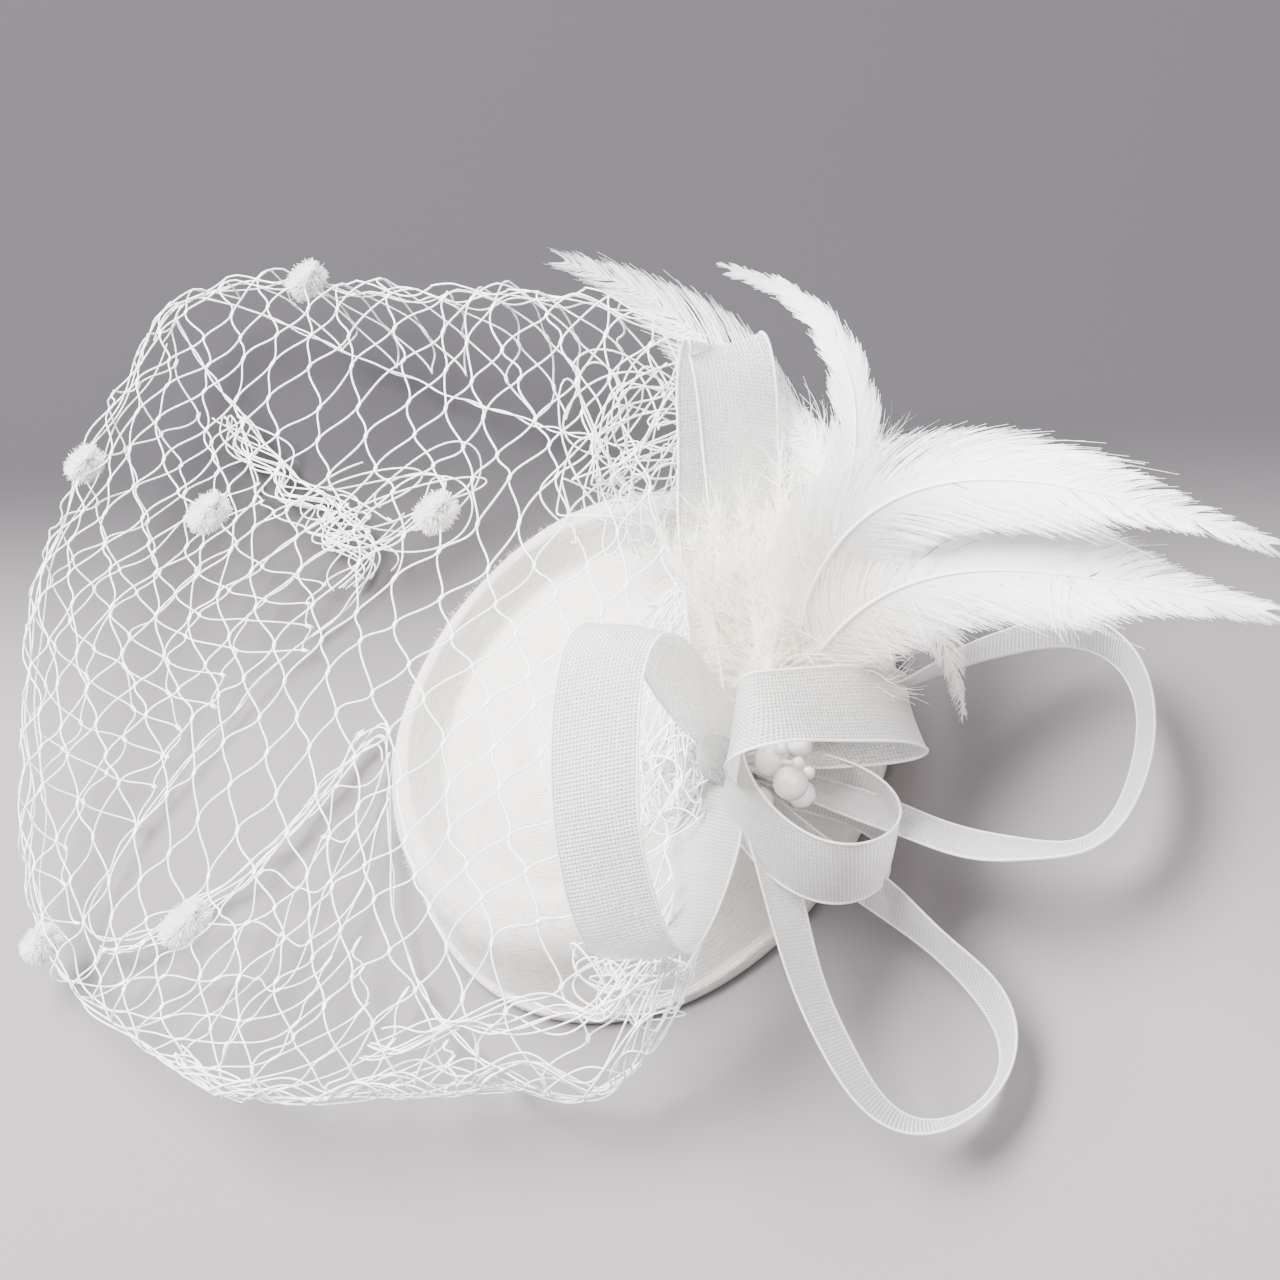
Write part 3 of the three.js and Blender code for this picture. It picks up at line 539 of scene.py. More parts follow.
def ribbon_sections(row, steps):
    """Places, directions, gather and length along a ribbon loop."""
    t = np.linspace(0.004, 0.996, steps)
    point, across = ribbon_path(row, t)
    along = unit(ribbon_path(row, t + 0.004)[0] - ribbon_path(row, t - 0.004)[0])
    flat = unit(across - along * (along @ across)[:, None])
    face = np.cross(along, flat)
    first, middle, last = row["twists"]
    twist = np.radians(first * (1 - t) ** 2 + middle * 4 * t * (1 - t) + last * t ** 2)[:, None]
    wide = flat * np.cos(twist) + face * np.sin(twist)
    gather = RIBBON_GATHER + (1 - RIBBON_GATHER) * smooth(np.minimum(t, 1 - t) / 0.16)
    length = np.concatenate([[0], np.cumsum(np.linalg.norm(np.diff(point, axis=0), axis=1))])
    return point, wide, np.cross(along, wide), gather, length


def ribbon(row, seed):
    """A loop of woven ribbon with corded edges, pleated where it is gathered."""
    steps, across = 190, 15
    point, wide, face, gather, length = ribbon_sections(row, steps)
    v = np.linspace(-0.5, 0.5, across)
    pleat = (1 - gather)[:, None] * np.cos(v * 2 * math.pi * 2.5)[None] * 2.2
    cup = (v ** 2 - 0.08)[None] * row["width"] * 0.10
    base = point[:, None] + wide[:, None] * (v[None, :, None] * (row["width"] * gather)[:, None, None])
    wave = wobble(base, 34.0, seed)[..., :1] * 0.5
    points = base + face[:, None] * (pleat[..., None] * 0.5 + cup[..., None] + wave)
    uv = np.stack(np.broadcast_arrays(length[:, None], v[None] * row["width"]), -1)
    pieces = Pieces()
    pieces.grid(points, uv=uv)
    edges = np.stack([points[:, 0], points[:, -1]])
    pieces.tubes(edges, 0.32, 6)
    narrow = row["width"] < MIDDLE_RIBBON
    obj = dress(pieces, row["name"] + "_ribbon", row["name"], RIBBON_FINE if narrow else RIBBON)
    return obj


# Pearls, beads and the stitched middle of the bow

# Size is a share of the pearl's or bead's diameter, and the place one of PEARL_REACH from the bow.
STAMENS = [
    ("pearl_1", 1.0, 0.27, -0.69, 0.33),
    ("pearl_2", 1.0, 0.21, -1.05, 0.33),
    ("pearl_3", 0.83, 0.19, -0.96, 0.0),
    ("pearl_4", 0.75, 0.54, -0.72, 0.17),
    ("pearl_5", 0.75, -0.09, -0.76, 0.17),
    ("bead_1", 1.0, 0.412, -0.824, 0.472),
    ("bead_2", 1.0, 0.4, -1.12, 0.5),
    ("bead_3", 1.0, 0.39, -1.01, 0.17)]


def stamen(row):
    """A pressed pearl: a round body with a faint seam and a flat where its stem enters."""
    name, size, *share = row
    place = SEAT + np.array(share) * PEARL_REACH
    radius = (PEARL_DIAMETER if name.startswith("pearl") else BEAD_DIAMETER) * size / 2
    stem = unit(SEAT - place)
    aside = unit(np.cross(stem, [0.2, 0.5, 1.0]))
    other = np.cross(stem, aside)
    rows, turns = 28, 40
    tilt = np.linspace(0, math.pi, rows)
    turn = np.arange(turns) * 2 * math.pi / turns
    seam = 0.012 * np.exp(-((tilt - math.pi / 2) / 0.05) ** 2)
    body = radius * (1 + seam - 0.06 * np.exp(-(tilt / 0.25) ** 2))
    out = (body * np.sin(tilt))[:, None, None] * (
        np.cos(turn)[None, :, None] * aside + np.sin(turn)[None, :, None] * other)
    points = place + out + (body * np.cos(tilt))[:, None, None] * stem
    pieces = Pieces()
    pieces.grid(points, closed=True)
    return dress(pieces, name + "_pressed", name, PEARL)


def bow_middle():
    """Wrapped ribbon knot with pleats, and the pearls' stems."""
    pieces = Pieces()
    turns, rows = 96, 40
    angle = np.arange(turns) * 2 * math.pi / turns
    tilt = np.linspace(0.02, math.pi - 0.02, rows)
    fold = 1 + 0.07 * np.sin(angle * 11 + 1.5 * np.sin(3 * angle))[None] * np.sin(tilt)[:, None]
    width, height = 6.3, 10.6
    points = np.stack([
        width * fold * np.sin(tilt)[:, None] * np.cos(angle)[None],
        width * fold * np.sin(tilt)[:, None] * np.sin(angle)[None],
        np.broadcast_to(height * np.cos(tilt)[:, None], (rows, turns))], -1) + SEAT
    uv = np.stack(np.broadcast_arrays((tilt * 10)[:, None], (angle * 6.5)[None]), -1)
    pieces.grid(points, closed=True, uv=uv)
    stems = []
    for name, size, *share in STAMENS:
        end = SEAT + np.array(share) * PEARL_REACH
        t = np.linspace(0, 1, 9)[:, None]
        radius = (PEARL_DIAMETER if name.startswith("pearl") else BEAD_DIAMETER) * size / 2
        reach = 1 - (radius * 0.9) / np.linalg.norm(end - SEAT)
        sag = np.array([0.4, 0.2, 0.9]) * 1.2
        stems.append(SEAT + (end - SEAT) * t * reach + sag * (t * (1 - t)) * 2)
    pieces.tubes(np.array(stems), 0.5, 8)
    return dress(pieces, "bow_knot", "bow_centre", RIBBON)


# Feathers

# Turns and lifts are the spine's headings and pitches; down is the share of loose barbs by the root.
FEATHER_COLUMNS = (
    "name", "length", "width", "stem", "turns", "lifts",
    "barbs", "thick", "sweep", "teeth", "down", "loose", "taper")
FEATHERS = table(FEATHER_COLUMNS, [
    ("feather_plume", 1, 1.25, 0, (8, 90, 26), (20, -15, 44), 620, 0.13, 21, 0, 0.25, 0.5, 0.55),
    ("feather_quill", 0.91, 0.8, 0.35, (-2, 78, 61), (27, -35, 56), 1500, 0.24, 20, 9, 0.1, 0.1, 0.45),
    ("feather_back", 0.73, 0.9, 0, (-19, 77, 83), (26, -67, 80), 900, 0.16, 30, 0, 0.6, 1.0, 0.5),
    ("feather_high", 1.28, 1.4, 0.23, (-25, -122, 82), (42.6, -56, -29), 1700, 0.17, 19, 0, 0.5, 0.8, 0.68),
    ("feather_low", 1.14, 1.5, 0.21, (-37, -96, 73), (32.8, -40, -19.5), 1700, 0.17, 21, 0, 0.5, 0.9, 0.62),
    ("feather_wisp", 0.6, 0.7, 0, (20, -80, -150), (22, -50, -45), 360, 0.15, 22, 0, 0.5, 1.0, 0.7)])
FEATHER_FACE = unit(np.array([0, -1.0, 1.0]))
FEATHER_ROOT = SEAT + np.array([FEATHER_WIDTH_IN, 0, 0])


def feather_spine(row, steps):
    """A feather's shaft, whose heading and pitch change along it."""
    middle = (np.arange(steps) + 0.5) / steps
    t = np.maximum(middle - row["stem"], 0) / (1 - row["stem"])
    heading = row["turns"][0] + row["turns"][1] * t + row["turns"][2] * t * t
    pitch = row["lifts"][0] + row["lifts"][1] * t + row["lifts"][2] * t * t
    step = FEATHER_REACH * row["length"] / steps
    return np.vstack([FEATHER_ROOT, FEATHER_ROOT + np.cumsum(direction(heading, pitch), axis=0) * step])


def vane_share(t, taper):
    """Width of the vane along the shaft, as a share."""
    vane = np.sin(math.pi * np.minimum(1, 0.12 + 0.88 * t) ** 0.9) ** 0.6
    return vane * smooth((t - 0.04) / 0.16) * (1 - taper * smooth((t - 0.4) / 0.55))


def along_blade(spine, distance):
    """Place, across and lift of a feather's blade at distances along its spine."""
    last = len(spine) - 1
    step = np.linalg.norm(spine[1] - spine[0])
    spot = np.clip(distance / step, 0, last - 1e-6)
    i = spot.astype(int)
    tangents = unit(np.gradient(spine, axis=0))
    tangent = unit(tangents[i] + (tangents[i + 1] - tangents[i]) * (spot - i)[..., None])
    place = spine[i] + (spine[i + 1] - spine[i]) * (spot - i)[..., None]
    place = place + tangent * (distance - spot * step)[..., None]
    across = unit(np.cross(FEATHER_FACE, tangent))
    return place, across, np.cross(tangent, across)


def barbs(pieces, spine, start, width, sweep, hand, thick, drift, cup):
    """Barbs that leave the spine at their start distances and bend towards its tip."""
    bends = 8
    s = np.linspace(0, 1, bends)
    angle = np.radians(sweep)[:, None] * (1.45 - 0.75 * s)[None]
    step = np.diff(s, prepend=0)[None]
    out, ahead = np.cumsum(np.sin(angle) * step, 1), np.cumsum(np.cos(angle) * step, 1)
    length = (width / out[:, -1])[:, None]
    distance = start[:, None] + length * ahead + drift[..., 0] * s ** 2
    place, across, lift = along_blade(spine, distance)
    beside = length * out * hand + drift[..., 1] * s ** 2
    drop = cup * np.abs(beside) ** 1.5 * 0.1
    paths = place + across * beside[..., None] + lift * (drift[..., 2] * s ** 2 - drop)[..., None]
    side = unit(np.cross(lift, np.gradient(paths, axis=1)))
    pieces.strips(paths, thick * (1 - 0.6 * s), side)


def feather(row, seed):
    """A shaft with two vanes of barbs that clump together, and its loose fringe."""
    rng = np.random.default_rng(seed)
    steps = 120
    spine = feather_spine(row, steps)
    reach = FEATHER_REACH * row["length"]
    pieces = Pieces()
    pieces.tubes(spine[None, 2:-6], np.linspace(0.55, 0.10, steps - 7)[None], 8)
    half = 0.5 * FEATHER_SPREAD * row["width"]
    for hand in (-1, 1):
        count = row["barbs"]
        t = np.sort(rng.random(count)) * 0.95 + 0.015
        clump = t * 30 + 0.4 * np.sin(t * 49 + hand) + 0.2 * rng.random(count)
        number, part = np.floor(clump), clump % 1
        shift = np.sin(number * 12.9898 + hand * 3.1 + seed)
        downy = smooth((row["down"] - t) / row["down"])
        uneven = (0.14 * shift + 0.07 * rng.normal(size=count)) * row["loose"]
        width = half * vane_share(t, row["taper"]) * (1 + uneven)
        width = width * (1 + 0.45 * downy * rng.random(count)) + 0.5
        if row["teeth"]:
            width = width * (1 - 0.45 * ((t * row["teeth"] + 0.3 * hand) % 1)) * 0.95
        sweep = row["sweep"] + 5 * shift * row["loose"] + 2.5 * rng.normal(size=count) + 22 * downy
        gather = (0.5 - part) * (reach / 30) * 0.95
        drift = np.stack([
            gather + rng.normal(size=count) * 0.4, shift * row["loose"] * 0.5 + rng.normal(size=count) * 0.25,
            shift * row["loose"] * 1.3 + rng.normal(size=count) * (0.3 + 2.6 * downy)], -1)[:, None]
        barbs(pieces, spine, t * reach, width, sweep, hand, row["thick"], drift, 0.5)
    fringe(pieces, row, spine, rng)
    return dress(pieces, row["name"] + "_vane", row["name"], FEATHER)


# Loose barbs that stand off a feather: where along it, on which side, how many and how long
FRINGES = {
    "feather_high": [(0.16, 0.34, 1, 70, 13, 62), (0.14, 0.3, -1, 50, 12, 50)],
    "feather_back": [(0.3, 0.8, -1, 80, 12, 45), (0.3, 0.8, 1, 60, 11, 45)],
    "feather_low": [(0.2, 0.42, -1, 60, 17, 60), (0.66, 0.72, -1, 26, 14, 75), (0.25, 0.5, 1, 40, 8, 50)],
    "feather_quill": [(0.3, 0.42, -1, 40, 10, 40)]}


def fringe(pieces, row, spine, rng):
    """The loose barbs of one feather."""
    reach = FEATHER_REACH * row["length"]
    for first, last, hand, count, length, sweep in FRINGES.get(row["name"], []):
        start = (first + (last - first) * rng.random(count)) * reach
        width = length * (0.55 + 0.5 * rng.random(count)) * math.sin(math.radians(sweep))
        drift = rng.normal(size=(count, 1, 3)) * np.array([2.0, 1.0, 3.5])
        barbs(pieces, spine, start, width, sweep + 8 * rng.normal(size=count), hand, 0.24, drift, 0.2)


def fluff():
    """Marabou down: long soft hairs in locks that curve out from the feathers' roots."""
    rng = np.random.default_rng(5)
    pieces = Pieces()
    locks, hairs, bends = 64, 250, 6
    share = (np.arange(locks) + 0.5) / locks
    swing = (np.arange(locks) * 0.618) % 1
    lean = direction(-46 + 100 * swing, 3 + 56 * share)
    reach = (34.0 + 38.0 * smooth(swing * 1.7)) * (1.05 - 0.35 * share) * (0.78 + 0.35 * rng.random(locks))
    t = np.linspace(0, 1, bends)[None, :, None]
    for k in range(locks):
        spread = rng.normal(size=(hairs, 3)) * 0.5
        way = unit(lean[k] + spread)
        start = FEATHER_ROOT + lean[k] * rng.random((hairs, 1)) * reach[k] * 0.85
        length = (5.0 + 8.5 * rng.random((hairs, 1)))[:, None]
        curve = unit(rng.normal(size=(hairs, 3)))[:, None]
        paths = start[:, None] + length * (way[:, None] * t + curve * 0.26 * t ** 2)
        paths = paths + wobble(paths, 12.0, 60 + k) * t
        paths = paths + np.array([0, 0, -1.0]) * length * 0.14 * t ** 2
        paths[..., 2] = np.maximum(paths[..., 2], HAT_HEIGHT - 0.5 + 0.1 * rng.random((hairs, 1)))
        side = unit(np.cross(way, rng.normal(size=(hairs, 3))))[:, None]
        pieces.strips(paths, np.linspace(0.26, 0.06, bends), side)
    return dress(pieces, "marabou_down", "feather_fluff", FEATHER)


# Net veil

# Heading, reach and height of the fold and then of the tucked edge, as seen from the bow: headings in
# degrees, and the others as shares of VEIL_REACH.
VEIL_ROWS = [
    (50, 0.417, 0.159, 55.8, 0.314, 0.117), (60.3, 0.507, 0.159, 71, 0.466, 0.048),
    (71.8, 0.628, 0.145, 79.7, 0.634, 0.028), (79.2, 0.755, 0.131, 84.1, 0.81, 0.024),
    (89, 1.02, 0.097, 89.1, 1.05, 0.076), (98.2, 0.99, 0.11, 92.8, 0.852, 0.017),
    (110, 0.928, 0.117, 95.8, 0.617, 0.017), (118.6, 0.879, 0.097, 112.7, 0.707, 0.017),
    (129.4, 0.848, 0.052, 128.2, 0.803, 0.021), (140.5, 0.703, 0.069, 129, 0.7, 0.017),
    (146.1, 0.624, 0.079, 121.6, 0.579, 0.017), (151.6, 0.566, 0.083, 110, 0.5, 0.017),
    (160.2, 0.448, 0.083, 142, 0.403, 0.017), (171.8, 0.338, 0.083, 164, 0.338, 0.021),
    (189.3, 0.276, 0.069, 185.8, 0.272, 0.048), (210.3, 0.166, 0.124, 206.6, 0.117, 0.117)]
VEIL = np.array(VEIL_ROWS, float)
VEIL_FIRST, VEIL_LAST = VEIL[0, 0], VEIL[-1, 0]


def veil_column(column, heading):
    """Smooth values between the rows, for one column at each heading."""
    h, values = VEIL[:, 0], VEIL[:, column]
    before = np.maximum(np.arange(len(h)) - 1, 0)
    after = np.minimum(np.arange(len(h)) + 1, len(h) - 1)
    slope = (values[after] - values[before]) / (h[after] - h[before])
    i = np.clip(np.searchsorted(h, heading, side="right") - 1, 0, len(h) - 2)
    span = h[i + 1] - h[i]
    t = (heading - h[i]) / span
    bow = t * (1 - t) * span
    return values[i] + (values[i + 1] - values[i]) * t * t * (3 - 2 * t) + bow * (
        (1 - t) * slope[i] - t * slope[i + 1])


def veil_section(heading):
    """Fold, edge and lengths of the veil's upper and tucked parts at each heading."""
    reach, height, edge_heading, edge_reach, edge_height = (veil_column(k, heading) for k in range(1, 6))

    def place(angle, far, high):
        a = np.radians(angle)
        out = VEIL_REACH * far
        return np.stack([SEAT[0] + out * np.cos(a), SEAT[1] + out * np.sin(a), VEIL_REACH * high], -1)
    fold, edge = place(heading, reach, height), place(edge_heading, edge_reach, edge_height)
    return fold, edge, VEIL_REACH * reach, np.linalg.norm(fold - edge, axis=-1) * 1.12


def veil_point(heading, length):
    """A point of the veil: length is measured along its section, from the bow over the fold to the edge."""
    fold, edge, over, under = veil_section(heading)
    start = SEAT[2] - VEIL_DROP
    s = np.clip(length / over, 0, 1)
    puff = VEIL_PUFF * smooth(s / 0.35) * np.sqrt(np.maximum(1 - s ** 6, 0))
    upper = SEAT + (fold - SEAT) * s[..., None]
    upper[..., 2] = start + (fold[..., 2] - start) * s ** 1.6 + puff
    t = np.clip((length - over) / under, 0, 1.2)
    lower = fold + (edge - fold) * (t ** 1.5)[..., None]
    lower[..., 2] = edge[..., 2] + (fold[..., 2] - edge[..., 2]) * np.maximum(1 - t, 0) ** 2
    return np.where((length <= over)[..., None], upper, lower)


def veil_normal(heading, length):
    """The net's outward side: up on top, level along the fold and down on the tucked part."""
    held = np.clip(heading, VEIL_FIRST + 0.6, VEIL_LAST - 0.6)
    over = veil_section(held)[2]
    around = veil_section(held + 0.6)[0] - veil_section(held - 0.6)[0]
    turn = math.pi / 2 * (1 + np.clip((length - over) / NET_FOLD_BAND, -1, 1))[..., None]
    up = np.array([0, 0, 1.0])
    return unit(unit(np.cross(around, up)) * np.sin(turn) + up * np.cos(turn))


def polar(flat):
    """Heading and length of points in the flat."""
    heading = np.degrees(np.arctan2(flat[..., 1], flat[..., 0]))
    return np.where(heading < -90, heading + 360, heading), np.linalg.norm(flat, axis=-1)


def inside_veil(flat):
    """Whether points in the flat lie on the net, clear of its cut edge."""
    heading, length = polar(flat)
    held = np.clip(heading, VEIL_FIRST, VEIL_LAST)
    _, _, over, under = veil_section(held)
    between = (heading > VEIL_FIRST) & (heading < VEIL_LAST)
    return between & (length > VEIL_START) & (length < over + under - NET_EDGE_MARGIN)


def on_veil(flat, lift):
    """Points of the net in space from points in the flat and their lift off the surface."""
    heading, length = polar(flat)
    held = np.clip(heading, VEIL_FIRST, VEIL_LAST)
    points = veil_point(held, length)
    return points + veil_normal(held, length) * lift[..., None]


def net_edges(width, height, slant, extent):
    """Ends of the net's threads between knots, in the flat, as two arrays of points."""
    axis = np.array([math.cos(math.radians(slant)), math.sin(math.radians(slant))])
    cross = np.array([-axis[1], axis[0]])
    n, m = int(2 * extent / height) + 2, int(2 * extent / width) + 2
    u, v = np.meshgrid(np.arange(-n, n + 1), np.arange(-m, m + 1), indexing="ij")
    keep = (u + v) % 2 == 1
    u, v = u[keep].astype(float), v[keep].astype(float)

    def flat(a, b):
        return a[:, None] * axis * height / 2 + b[:, None] * cross * width / 2
    first = np.concatenate([flat(u, v), flat(u, v)])
    last = np.concatenate([flat(u + 1, v + 1), flat(u + 1, v - 1)])
    return first, last, axis


def knot_path(first, last, axis, steps, ease):
    """Threads that leave and reach their knots along the net's axis."""
    t = np.linspace(0, 1, steps)[None, :, None]
    gap = (last - first)[:, None]
    along = (gap @ axis)[..., None] * axis
    return first[:, None] + along * t + (gap - along) * (t + (smooth(t) - t) * ease)


def veil_net():
    """The knotted net with its bunched and crumpled threads."""
    first, last, axis = net_edges(NET_CELL_WIDTH, NET_CELL_HEIGHT, NET_SLANT, 1.3 * VEIL_REACH)
    keep = inside_veil(first) & inside_veil(last)
    first, last = first[keep], last[keep]
    paths = on_veil(*net_sway(knot_path(first, last, axis, 11, 0.85)))
    pieces = Pieces()
    pieces.tubes(paths, NET_THREAD / 2, 4)
    knots(pieces, first, axis)
    bundles(pieces)
    for row in GATHERS:
        curls(pieces, row)
    obj = dress(pieces, "french_net", ("veil_net", "veil_tuck"), THREAD)


def net_sway(flat):
    """The net doesn't lie evenly: its cells sway in the flat, and lift off the surface a little."""
    flat = flat + wobble(flat, 70.0, 21)[..., :2] * 2.6
    flat = flat + wobble(flat, 24.0, 22)[..., :2] * 0.8
    return flat, wobble(flat, 44.0, 23)[..., 0] * 1.6 + wobble(flat, 19.0, 24)[..., 0] * 0.5


def knots(pieces, spots, axis):
    """Two short bars side by side, thicker in the middle, where two threads cross."""
    spots = np.unique(np.round(spots, 2), axis=0)
    t = np.linspace(-1, 1, 3)[None, :, None]
    cross = np.array([-axis[1], axis[0]])
    for offset in (-0.34, 0.34):
        flat, lift = net_sway(spots[:, None] + t * axis * 1.25)
        paths = on_veil(flat + cross * offset, lift)
        pieces.tubes(paths, np.array([0.22, 0.38, 0.22])[None], 4)


# Bunched threads of the net: they run beside the fold or the edge, between two headings, in long
# shallow waves. Off is how far past the fold or short of the edge they lie, and spread how wide.
BUNDLES = table(
    ("by", "first", "last", "threads", "off", "spread", "wave", "seed"), [
        ("edge", 51, 209, 2, 2.0, 1.4, 24, 31),
        ("fold", 51, 92, 4, 2.0, 3.2, 34, 33),
        ("fold", 92, 152, 3, 3.0, 3.4, 40, 34),
        ("fold", 146, 209, 10, 1.0, 6.5, 46, 35),
        ("edge", 96, 111, 9, 6.0, 8.0, 28, 36),
        ("edge", 134, 152, 3, 5.0, 3.0, 36, 39),
        ("fold", 160, 208, 7, -16.0, 5.0, 38, 37)])


def bundles(pieces):
    """Adds the bunched threads."""
    for row in BUNDLES:
        rng = np.random.default_rng(row["seed"])
        count = int(3.5 * (row["last"] - row["first"])) + 20
        heading = np.linspace(row["first"], row["last"], count)
        _, _, over, under = veil_section(heading)
        line = over + row["off"] if row["by"] == "fold" else over + under - row["off"]
        track = veil_point(heading, line)
        walked = np.concatenate([[0], np.cumsum(np.linalg.norm(np.diff(track, axis=0), axis=1))])
        paths = []
        for k in range(row["threads"]):
            phase, pitch = rng.random() * 2 * math.pi, row["wave"] * (0.8 + 0.4 * rng.random())
            wave = np.sin(walked * 2 * math.pi / pitch + phase + 0.8 * np.sin(walked / 37.0 + 2 * k))
            length = line + row["spread"] * (0.5 * wave + 0.5 * rng.normal())
            lift = 0.7 + 1.0 * np.sin(walked * 2 * math.pi / (pitch * 1.7) + 3 * phase)
            path = veil_point(heading, length) + veil_normal(heading, length) * lift[:, None]
            path[:, 2] = np.maximum(path[:, 2], 3.0)
            paths.append(path)
        pieces.tubes(np.array(paths), NET_THREAD / 2, 4)


# Crumpled net near the bow: curling threads that fill a slanted oval box about a place.
GATHERS = table(
    ("name", "place", "wide", "tall", "deep", "threads", "curl", "seed"), [
        ("behind_tall_loop", (59, 19.5, 47), (15, -13, -12), (21, 12, 9), 6.0, 14, 5, 41),
        ("inside_wide_loop", (4, -48, 44), (8, -7, -3), (17, 10, 5), 5.0, 18, 5, 42),
        ("over_brim", (-42, -65.0, 31), (11, -11, -6), (9, 6, 5), 4.0, 9, 3, 43),
        ("along_crown", (27.5, -22.5, 42), (6, -6, -2), (16, 9, 0), 3.0, 9, 5, 44),
        ("collar", (4, 116, 18), (24, -22, -4), (12, 7, 6), 7.0, 5, 3, 45)])


def curls(pieces, row):
    """Adds one crumpled stretch of net."""
    rng = np.random.default_rng(row["seed"])
    wide, tall = np.array(row["wide"], float), np.array(row["tall"], float)
    deep = unit(np.cross(wide, tall)) * row["deep"]
    s = np.linspace(0, 1, 80)[:, None]
    paths = []
    for _ in range(row["threads"]):
        order = np.arange(1, row["curl"] + 1)[:, None]
        size = rng.normal(size=(row["curl"], 3)) / order ** 0.75
        phase = rng.random((row["curl"], 3)) * 2 * math.pi
        walk = np.sum(size[None] * np.sin(2 * math.pi * s[..., None] * order[None] * 0.8 + phase[None]), 1)
        walk = walk / (1 + 0.35 * np.linalg.norm(walk, axis=-1, keepdims=True)) + rng.normal(size=3) * 0.18
        paths.append(np.array(row["place"], float) + walk @ np.stack([wide, tall, deep]) * 0.85)
    pieces.tubes(clear_of_felt(np.array(paths)), NET_THREAD / 2, 4)


def clear_of_felt(points):
    """Lifts points that would dip into the felt's outer face."""
    curve = rounded(felt_profile())
    radius = np.linalg.norm(points[..., :2], axis=-1)
    top = np.interp(radius, curve[:, 0], curve[:, 1], right=0.0)
    lifted = points.copy()
    lifted[..., 2] = np.maximum(points[..., 2], np.where(radius < HEM_RADIUS + 1, top + 0.9, 0.9))
    return lifted


# Chenille dots

# Each dot's length along its core, as a share of DOT_DIAMETER
DOTS = [
    ("veil_dot_1", 1.0), ("veil_dot_2", 1.0), ("veil_dot_3", 1.15),
    ("veil_dot_4", 1.0), ("veil_dot_5", 1.1), ("veil_dot_6", 1.5)]


def chenille_dot(row, seed):
    """Short cut fibres all round a twisted core."""
    name, stretch = row
    rng = np.random.default_rng(seed)
    low_corner, high_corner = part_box(name)
    middle = ((np.array(low_corner) + np.array(high_corner)) / 2 - HAT) / MM
    slant = math.radians(-NET_SLANT)
    core = unit(np.array([math.cos(slant), math.sin(slant), 0.12]))
    half = DOT_DIAMETER / 2 * stretch * 0.8
    pieces = Pieces()
    s = np.linspace(-1.15, 1.15, 28)
    for phase in (0, math.pi):
        aside, other = unit(np.cross(core, [0, 0, 1.0])), np.array([0, 0, 1.0])
        twist = s * 9 + phase
        path = middle + s[:, None] * half * core + 0.28 * (
            np.cos(twist)[:, None] * aside + np.sin(twist)[:, None] * other)
        pieces.tubes(path[None], 0.22, 5)
    count, bends = 3000, 4
    along = rng.uniform(-1, 1, count)
    way = rng.normal(size=(count, 3))
    way = unit(way - (way @ core)[:, None] * core * 0.9)
    way = unit(way + core * (along * 0.45)[:, None] + rng.normal(size=(count, 3)) * 0.10)
    reach = DOT_DIAMETER / 2 * np.sqrt(1 - 0.55 * along ** 2) * (0.84 + 0.22 * rng.random(count) ** 2)
    t = np.linspace(0, 1, bends)[None, :, None]
    root = middle + (along * half)[:, None] * core
    bendy = unit(rng.normal(size=(count, 3)))[:, None]
    paths = root[:, None] + reach[:, None, None] * (way[:, None] * t + bendy * 0.16 * t ** 2)
    side = unit(np.cross(way, rng.normal(size=(count, 3))))[:, None]
    pieces.strips(paths, np.linspace(0.30, 0.16, bends), side)
    return dress(pieces, name + "_tuft", name, CHENILLE)


# Hair clip under the crown

CLIP_INSET = 0.45
CLIP_END = 0.6
CLIP_BOW = 0.5


def hair_clip():
    """A folded steel strip with rounded edges, in place of the plain one."""
    low_corner, high_corner = (np.array(c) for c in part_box("hair_clip"))
    low_mm, high_mm = (low_corner - HAT) / MM, (high_corner - HAT) / MM
    middle_y = (low_mm[1] + high_mm[1]) / 2
    half_wide = (high_mm[1] - low_mm[1]) / 2
    radius = (high_mm[2] - low_mm[2]) / 2
    top = high_mm[2] - CLIP_INSET
    bend = np.linspace(0.5 * math.pi, 1.5 * math.pi, 26)
    straight = np.linspace(high_mm[0] - CLIP_END, low_mm[0] + radius, 30)
    upper = np.stack([straight, np.full(30, top)], -1)
    turn = np.stack([low_mm[0] + radius + (radius - CLIP_INSET) * np.cos(bend),
                     top - radius + CLIP_INSET + (radius - CLIP_INSET) * np.sin(bend)], -1)
    lower = np.stack([straight[::-1], np.full(30, low_mm[2] + CLIP_INSET)], -1)
    lower[:, 1] += CLIP_BOW * np.sin(np.linspace(0, math.pi, 30))
    line = np.vstack([upper, turn[1:-1], lower])
    along = unit(np.gradient(line, axis=0))
    normal = np.stack([-along[:, 1], along[:, 0]], -1)
    angle = np.arange(20) * 2 * math.pi / 20
    across = np.sign(np.cos(angle)) * np.abs(np.cos(angle)) ** 0.35 * (half_wide - 0.1)
    through = np.sign(np.sin(angle)) * np.abs(np.sin(angle)) ** 0.5 * 0.42
    flat = line[:, None] + normal[:, None] * through[None, :, None]
    beside = np.broadcast_to(middle_y + across[None], flat.shape[:2])
    points = np.stack([flat[..., 0], beside, flat[..., 1]], -1)
    pieces = Pieces()
    pieces.grid(points, closed=True)
    for end in (points[:1], points[-1:]):
        centre = end.mean(axis=1, keepdims=True)
        pieces.grid(np.concatenate([end, np.repeat(centre, end.shape[1], axis=1)], 0), closed=True)
    return dress(pieces, "clip_strip", "hair_clip", STEEL)


# Studio

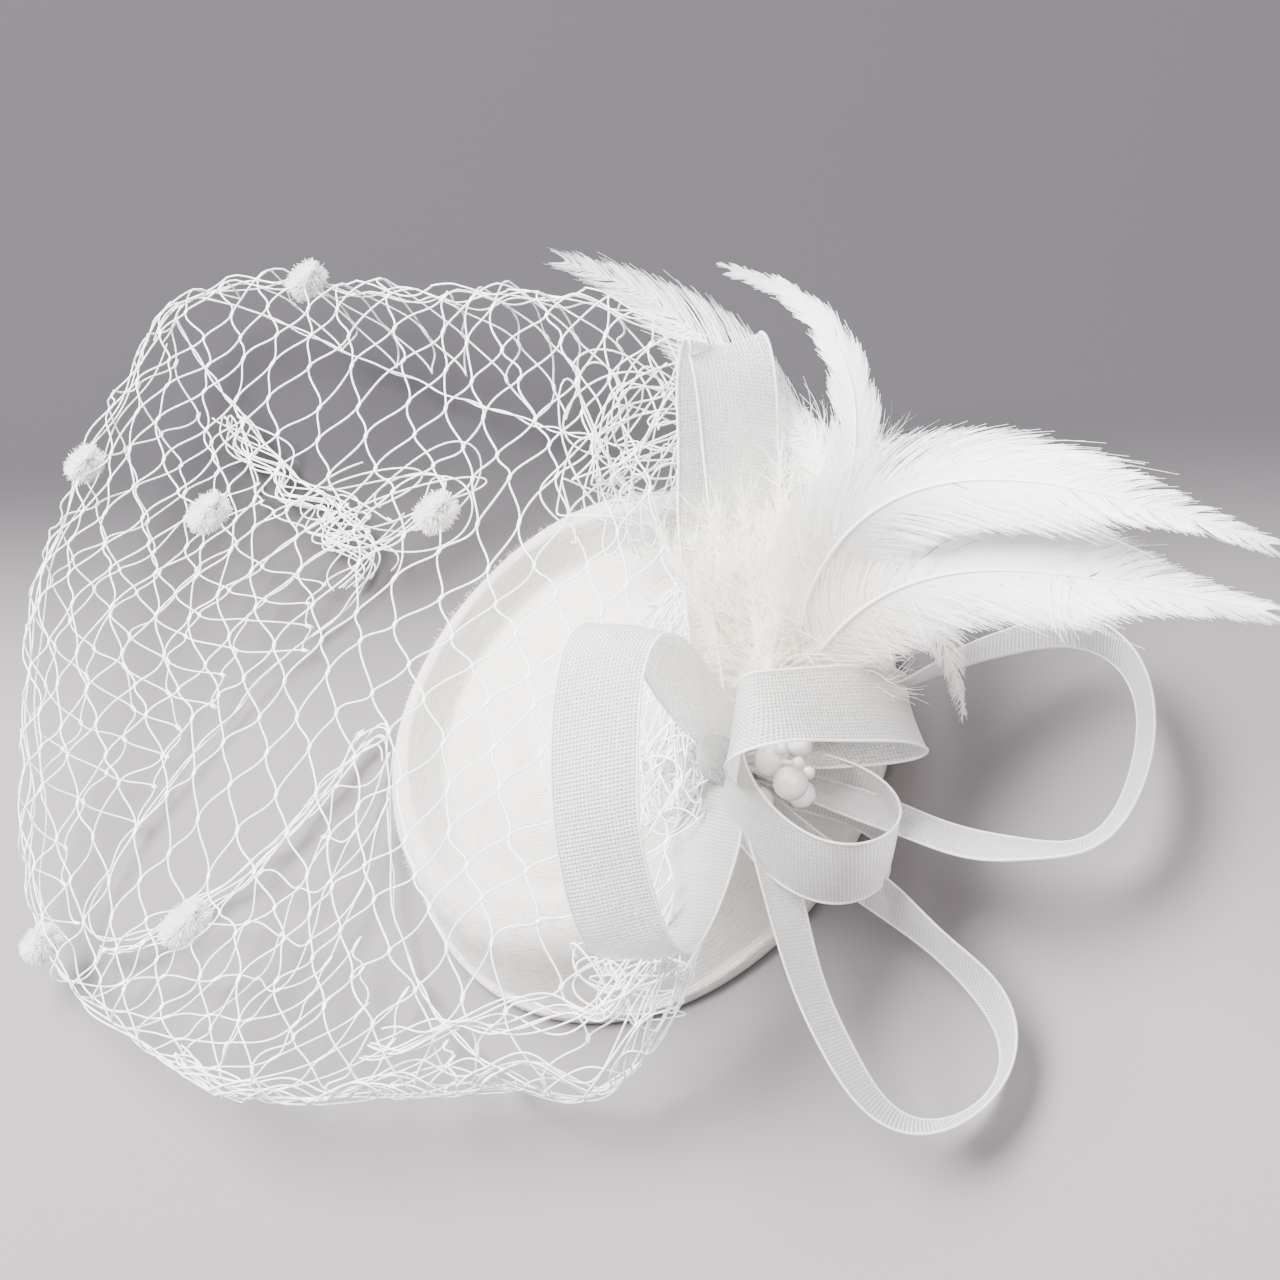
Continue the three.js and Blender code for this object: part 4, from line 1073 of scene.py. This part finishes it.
LAMPS = table(("name", "place", "size", "power"), [
    ("key", (0.15, 0.85, 2.0), 2.0, 560.0),
    ("fill", (0.7, -1.1, 1.2), 1.6, 48.0)])
ROOM_COLOUR = (0.78, 0.79, 0.84, 1)
ROOM_STRENGTH = 0.8
LENS_MM = 88.875
FLOOR_REACH = 3.0
FLOOR_DROP = 0.0003


def lamp(row):
    """A round soft lamp that points at the middle of the frame."""
    data = bpy.data.lights.new(row["name"], "AREA")
    data.shape, data.size, data.energy = "DISK", row["size"], row["power"]
    obj = bpy.data.objects.new(row["name"], data)
    place = np.array(row["place"])
    z = unit(place)
    x_axis = unit(np.cross([0, 0.01, 1.0], z))
    y_axis = np.cross(z, x_axis)
    obj.matrix_world = placed(x_axis, y_axis, z, place)
    bpy.context.scene.collection.objects.link(obj)


def placed(x_axis, y_axis, z_axis, place):
    """The matrix that puts an object at a place with these axes."""
    rows = [[x_axis[k], y_axis[k], z_axis[k], place[k]] for k in range(3)]
    return Matrix(rows + [[0, 0, 0, 1]])


def studio():
    """Floor, lamps, soft room light and the camera."""
    pieces = Pieces()
    row = np.linspace(-FLOOR_REACH, FLOOR_REACH, 40)
    x, y = np.meshgrid(row, row, indexing="ij")
    points = (np.stack([x, y, np.full_like(x, -FLOOR_DROP)], -1) - HAT) / MM
    pieces.grid(points)
    floor = pieces.build("studio_floor", floor_material())

    for row in LAMPS:
        lamp(row)
    world = bpy.data.worlds.new("soft room")
    world.use_nodes = True
    world.node_tree.nodes["Background"].inputs[0].default_value = ROOM_COLOUR
    world.node_tree.nodes["Background"].inputs[1].default_value = ROOM_STRENGTH
    bpy.context.scene.world = world
    data = bpy.data.cameras.new("camera")
    data.lens, data.sensor_width, data.clip_start, data.clip_end = LENS_MM, 36.0, 0.05, 20.0
    camera = bpy.data.objects.new("camera", data)
    place = to_world(CAMERA_PLACE)
    camera.matrix_world = placed(PHOTO_RIGHT, PHOTO_UP, TO_CAMERA, place)
    bpy.context.scene.collection.objects.link(camera)
    bpy.context.scene.camera = camera


felt_fuzz(felt_base())
hair_clip()
for row in STAMENS:
    stamen(row)
bow_middle()
for k, row in enumerate(RIBBONS):
    ribbon(row, 70 + k)
fluff()
for k, row in enumerate(FEATHERS):
    feather(row, 80 + k)
for k, row in enumerate(DOTS):
    chenille_dot(row, 90 + k)
veil_net()
studio()
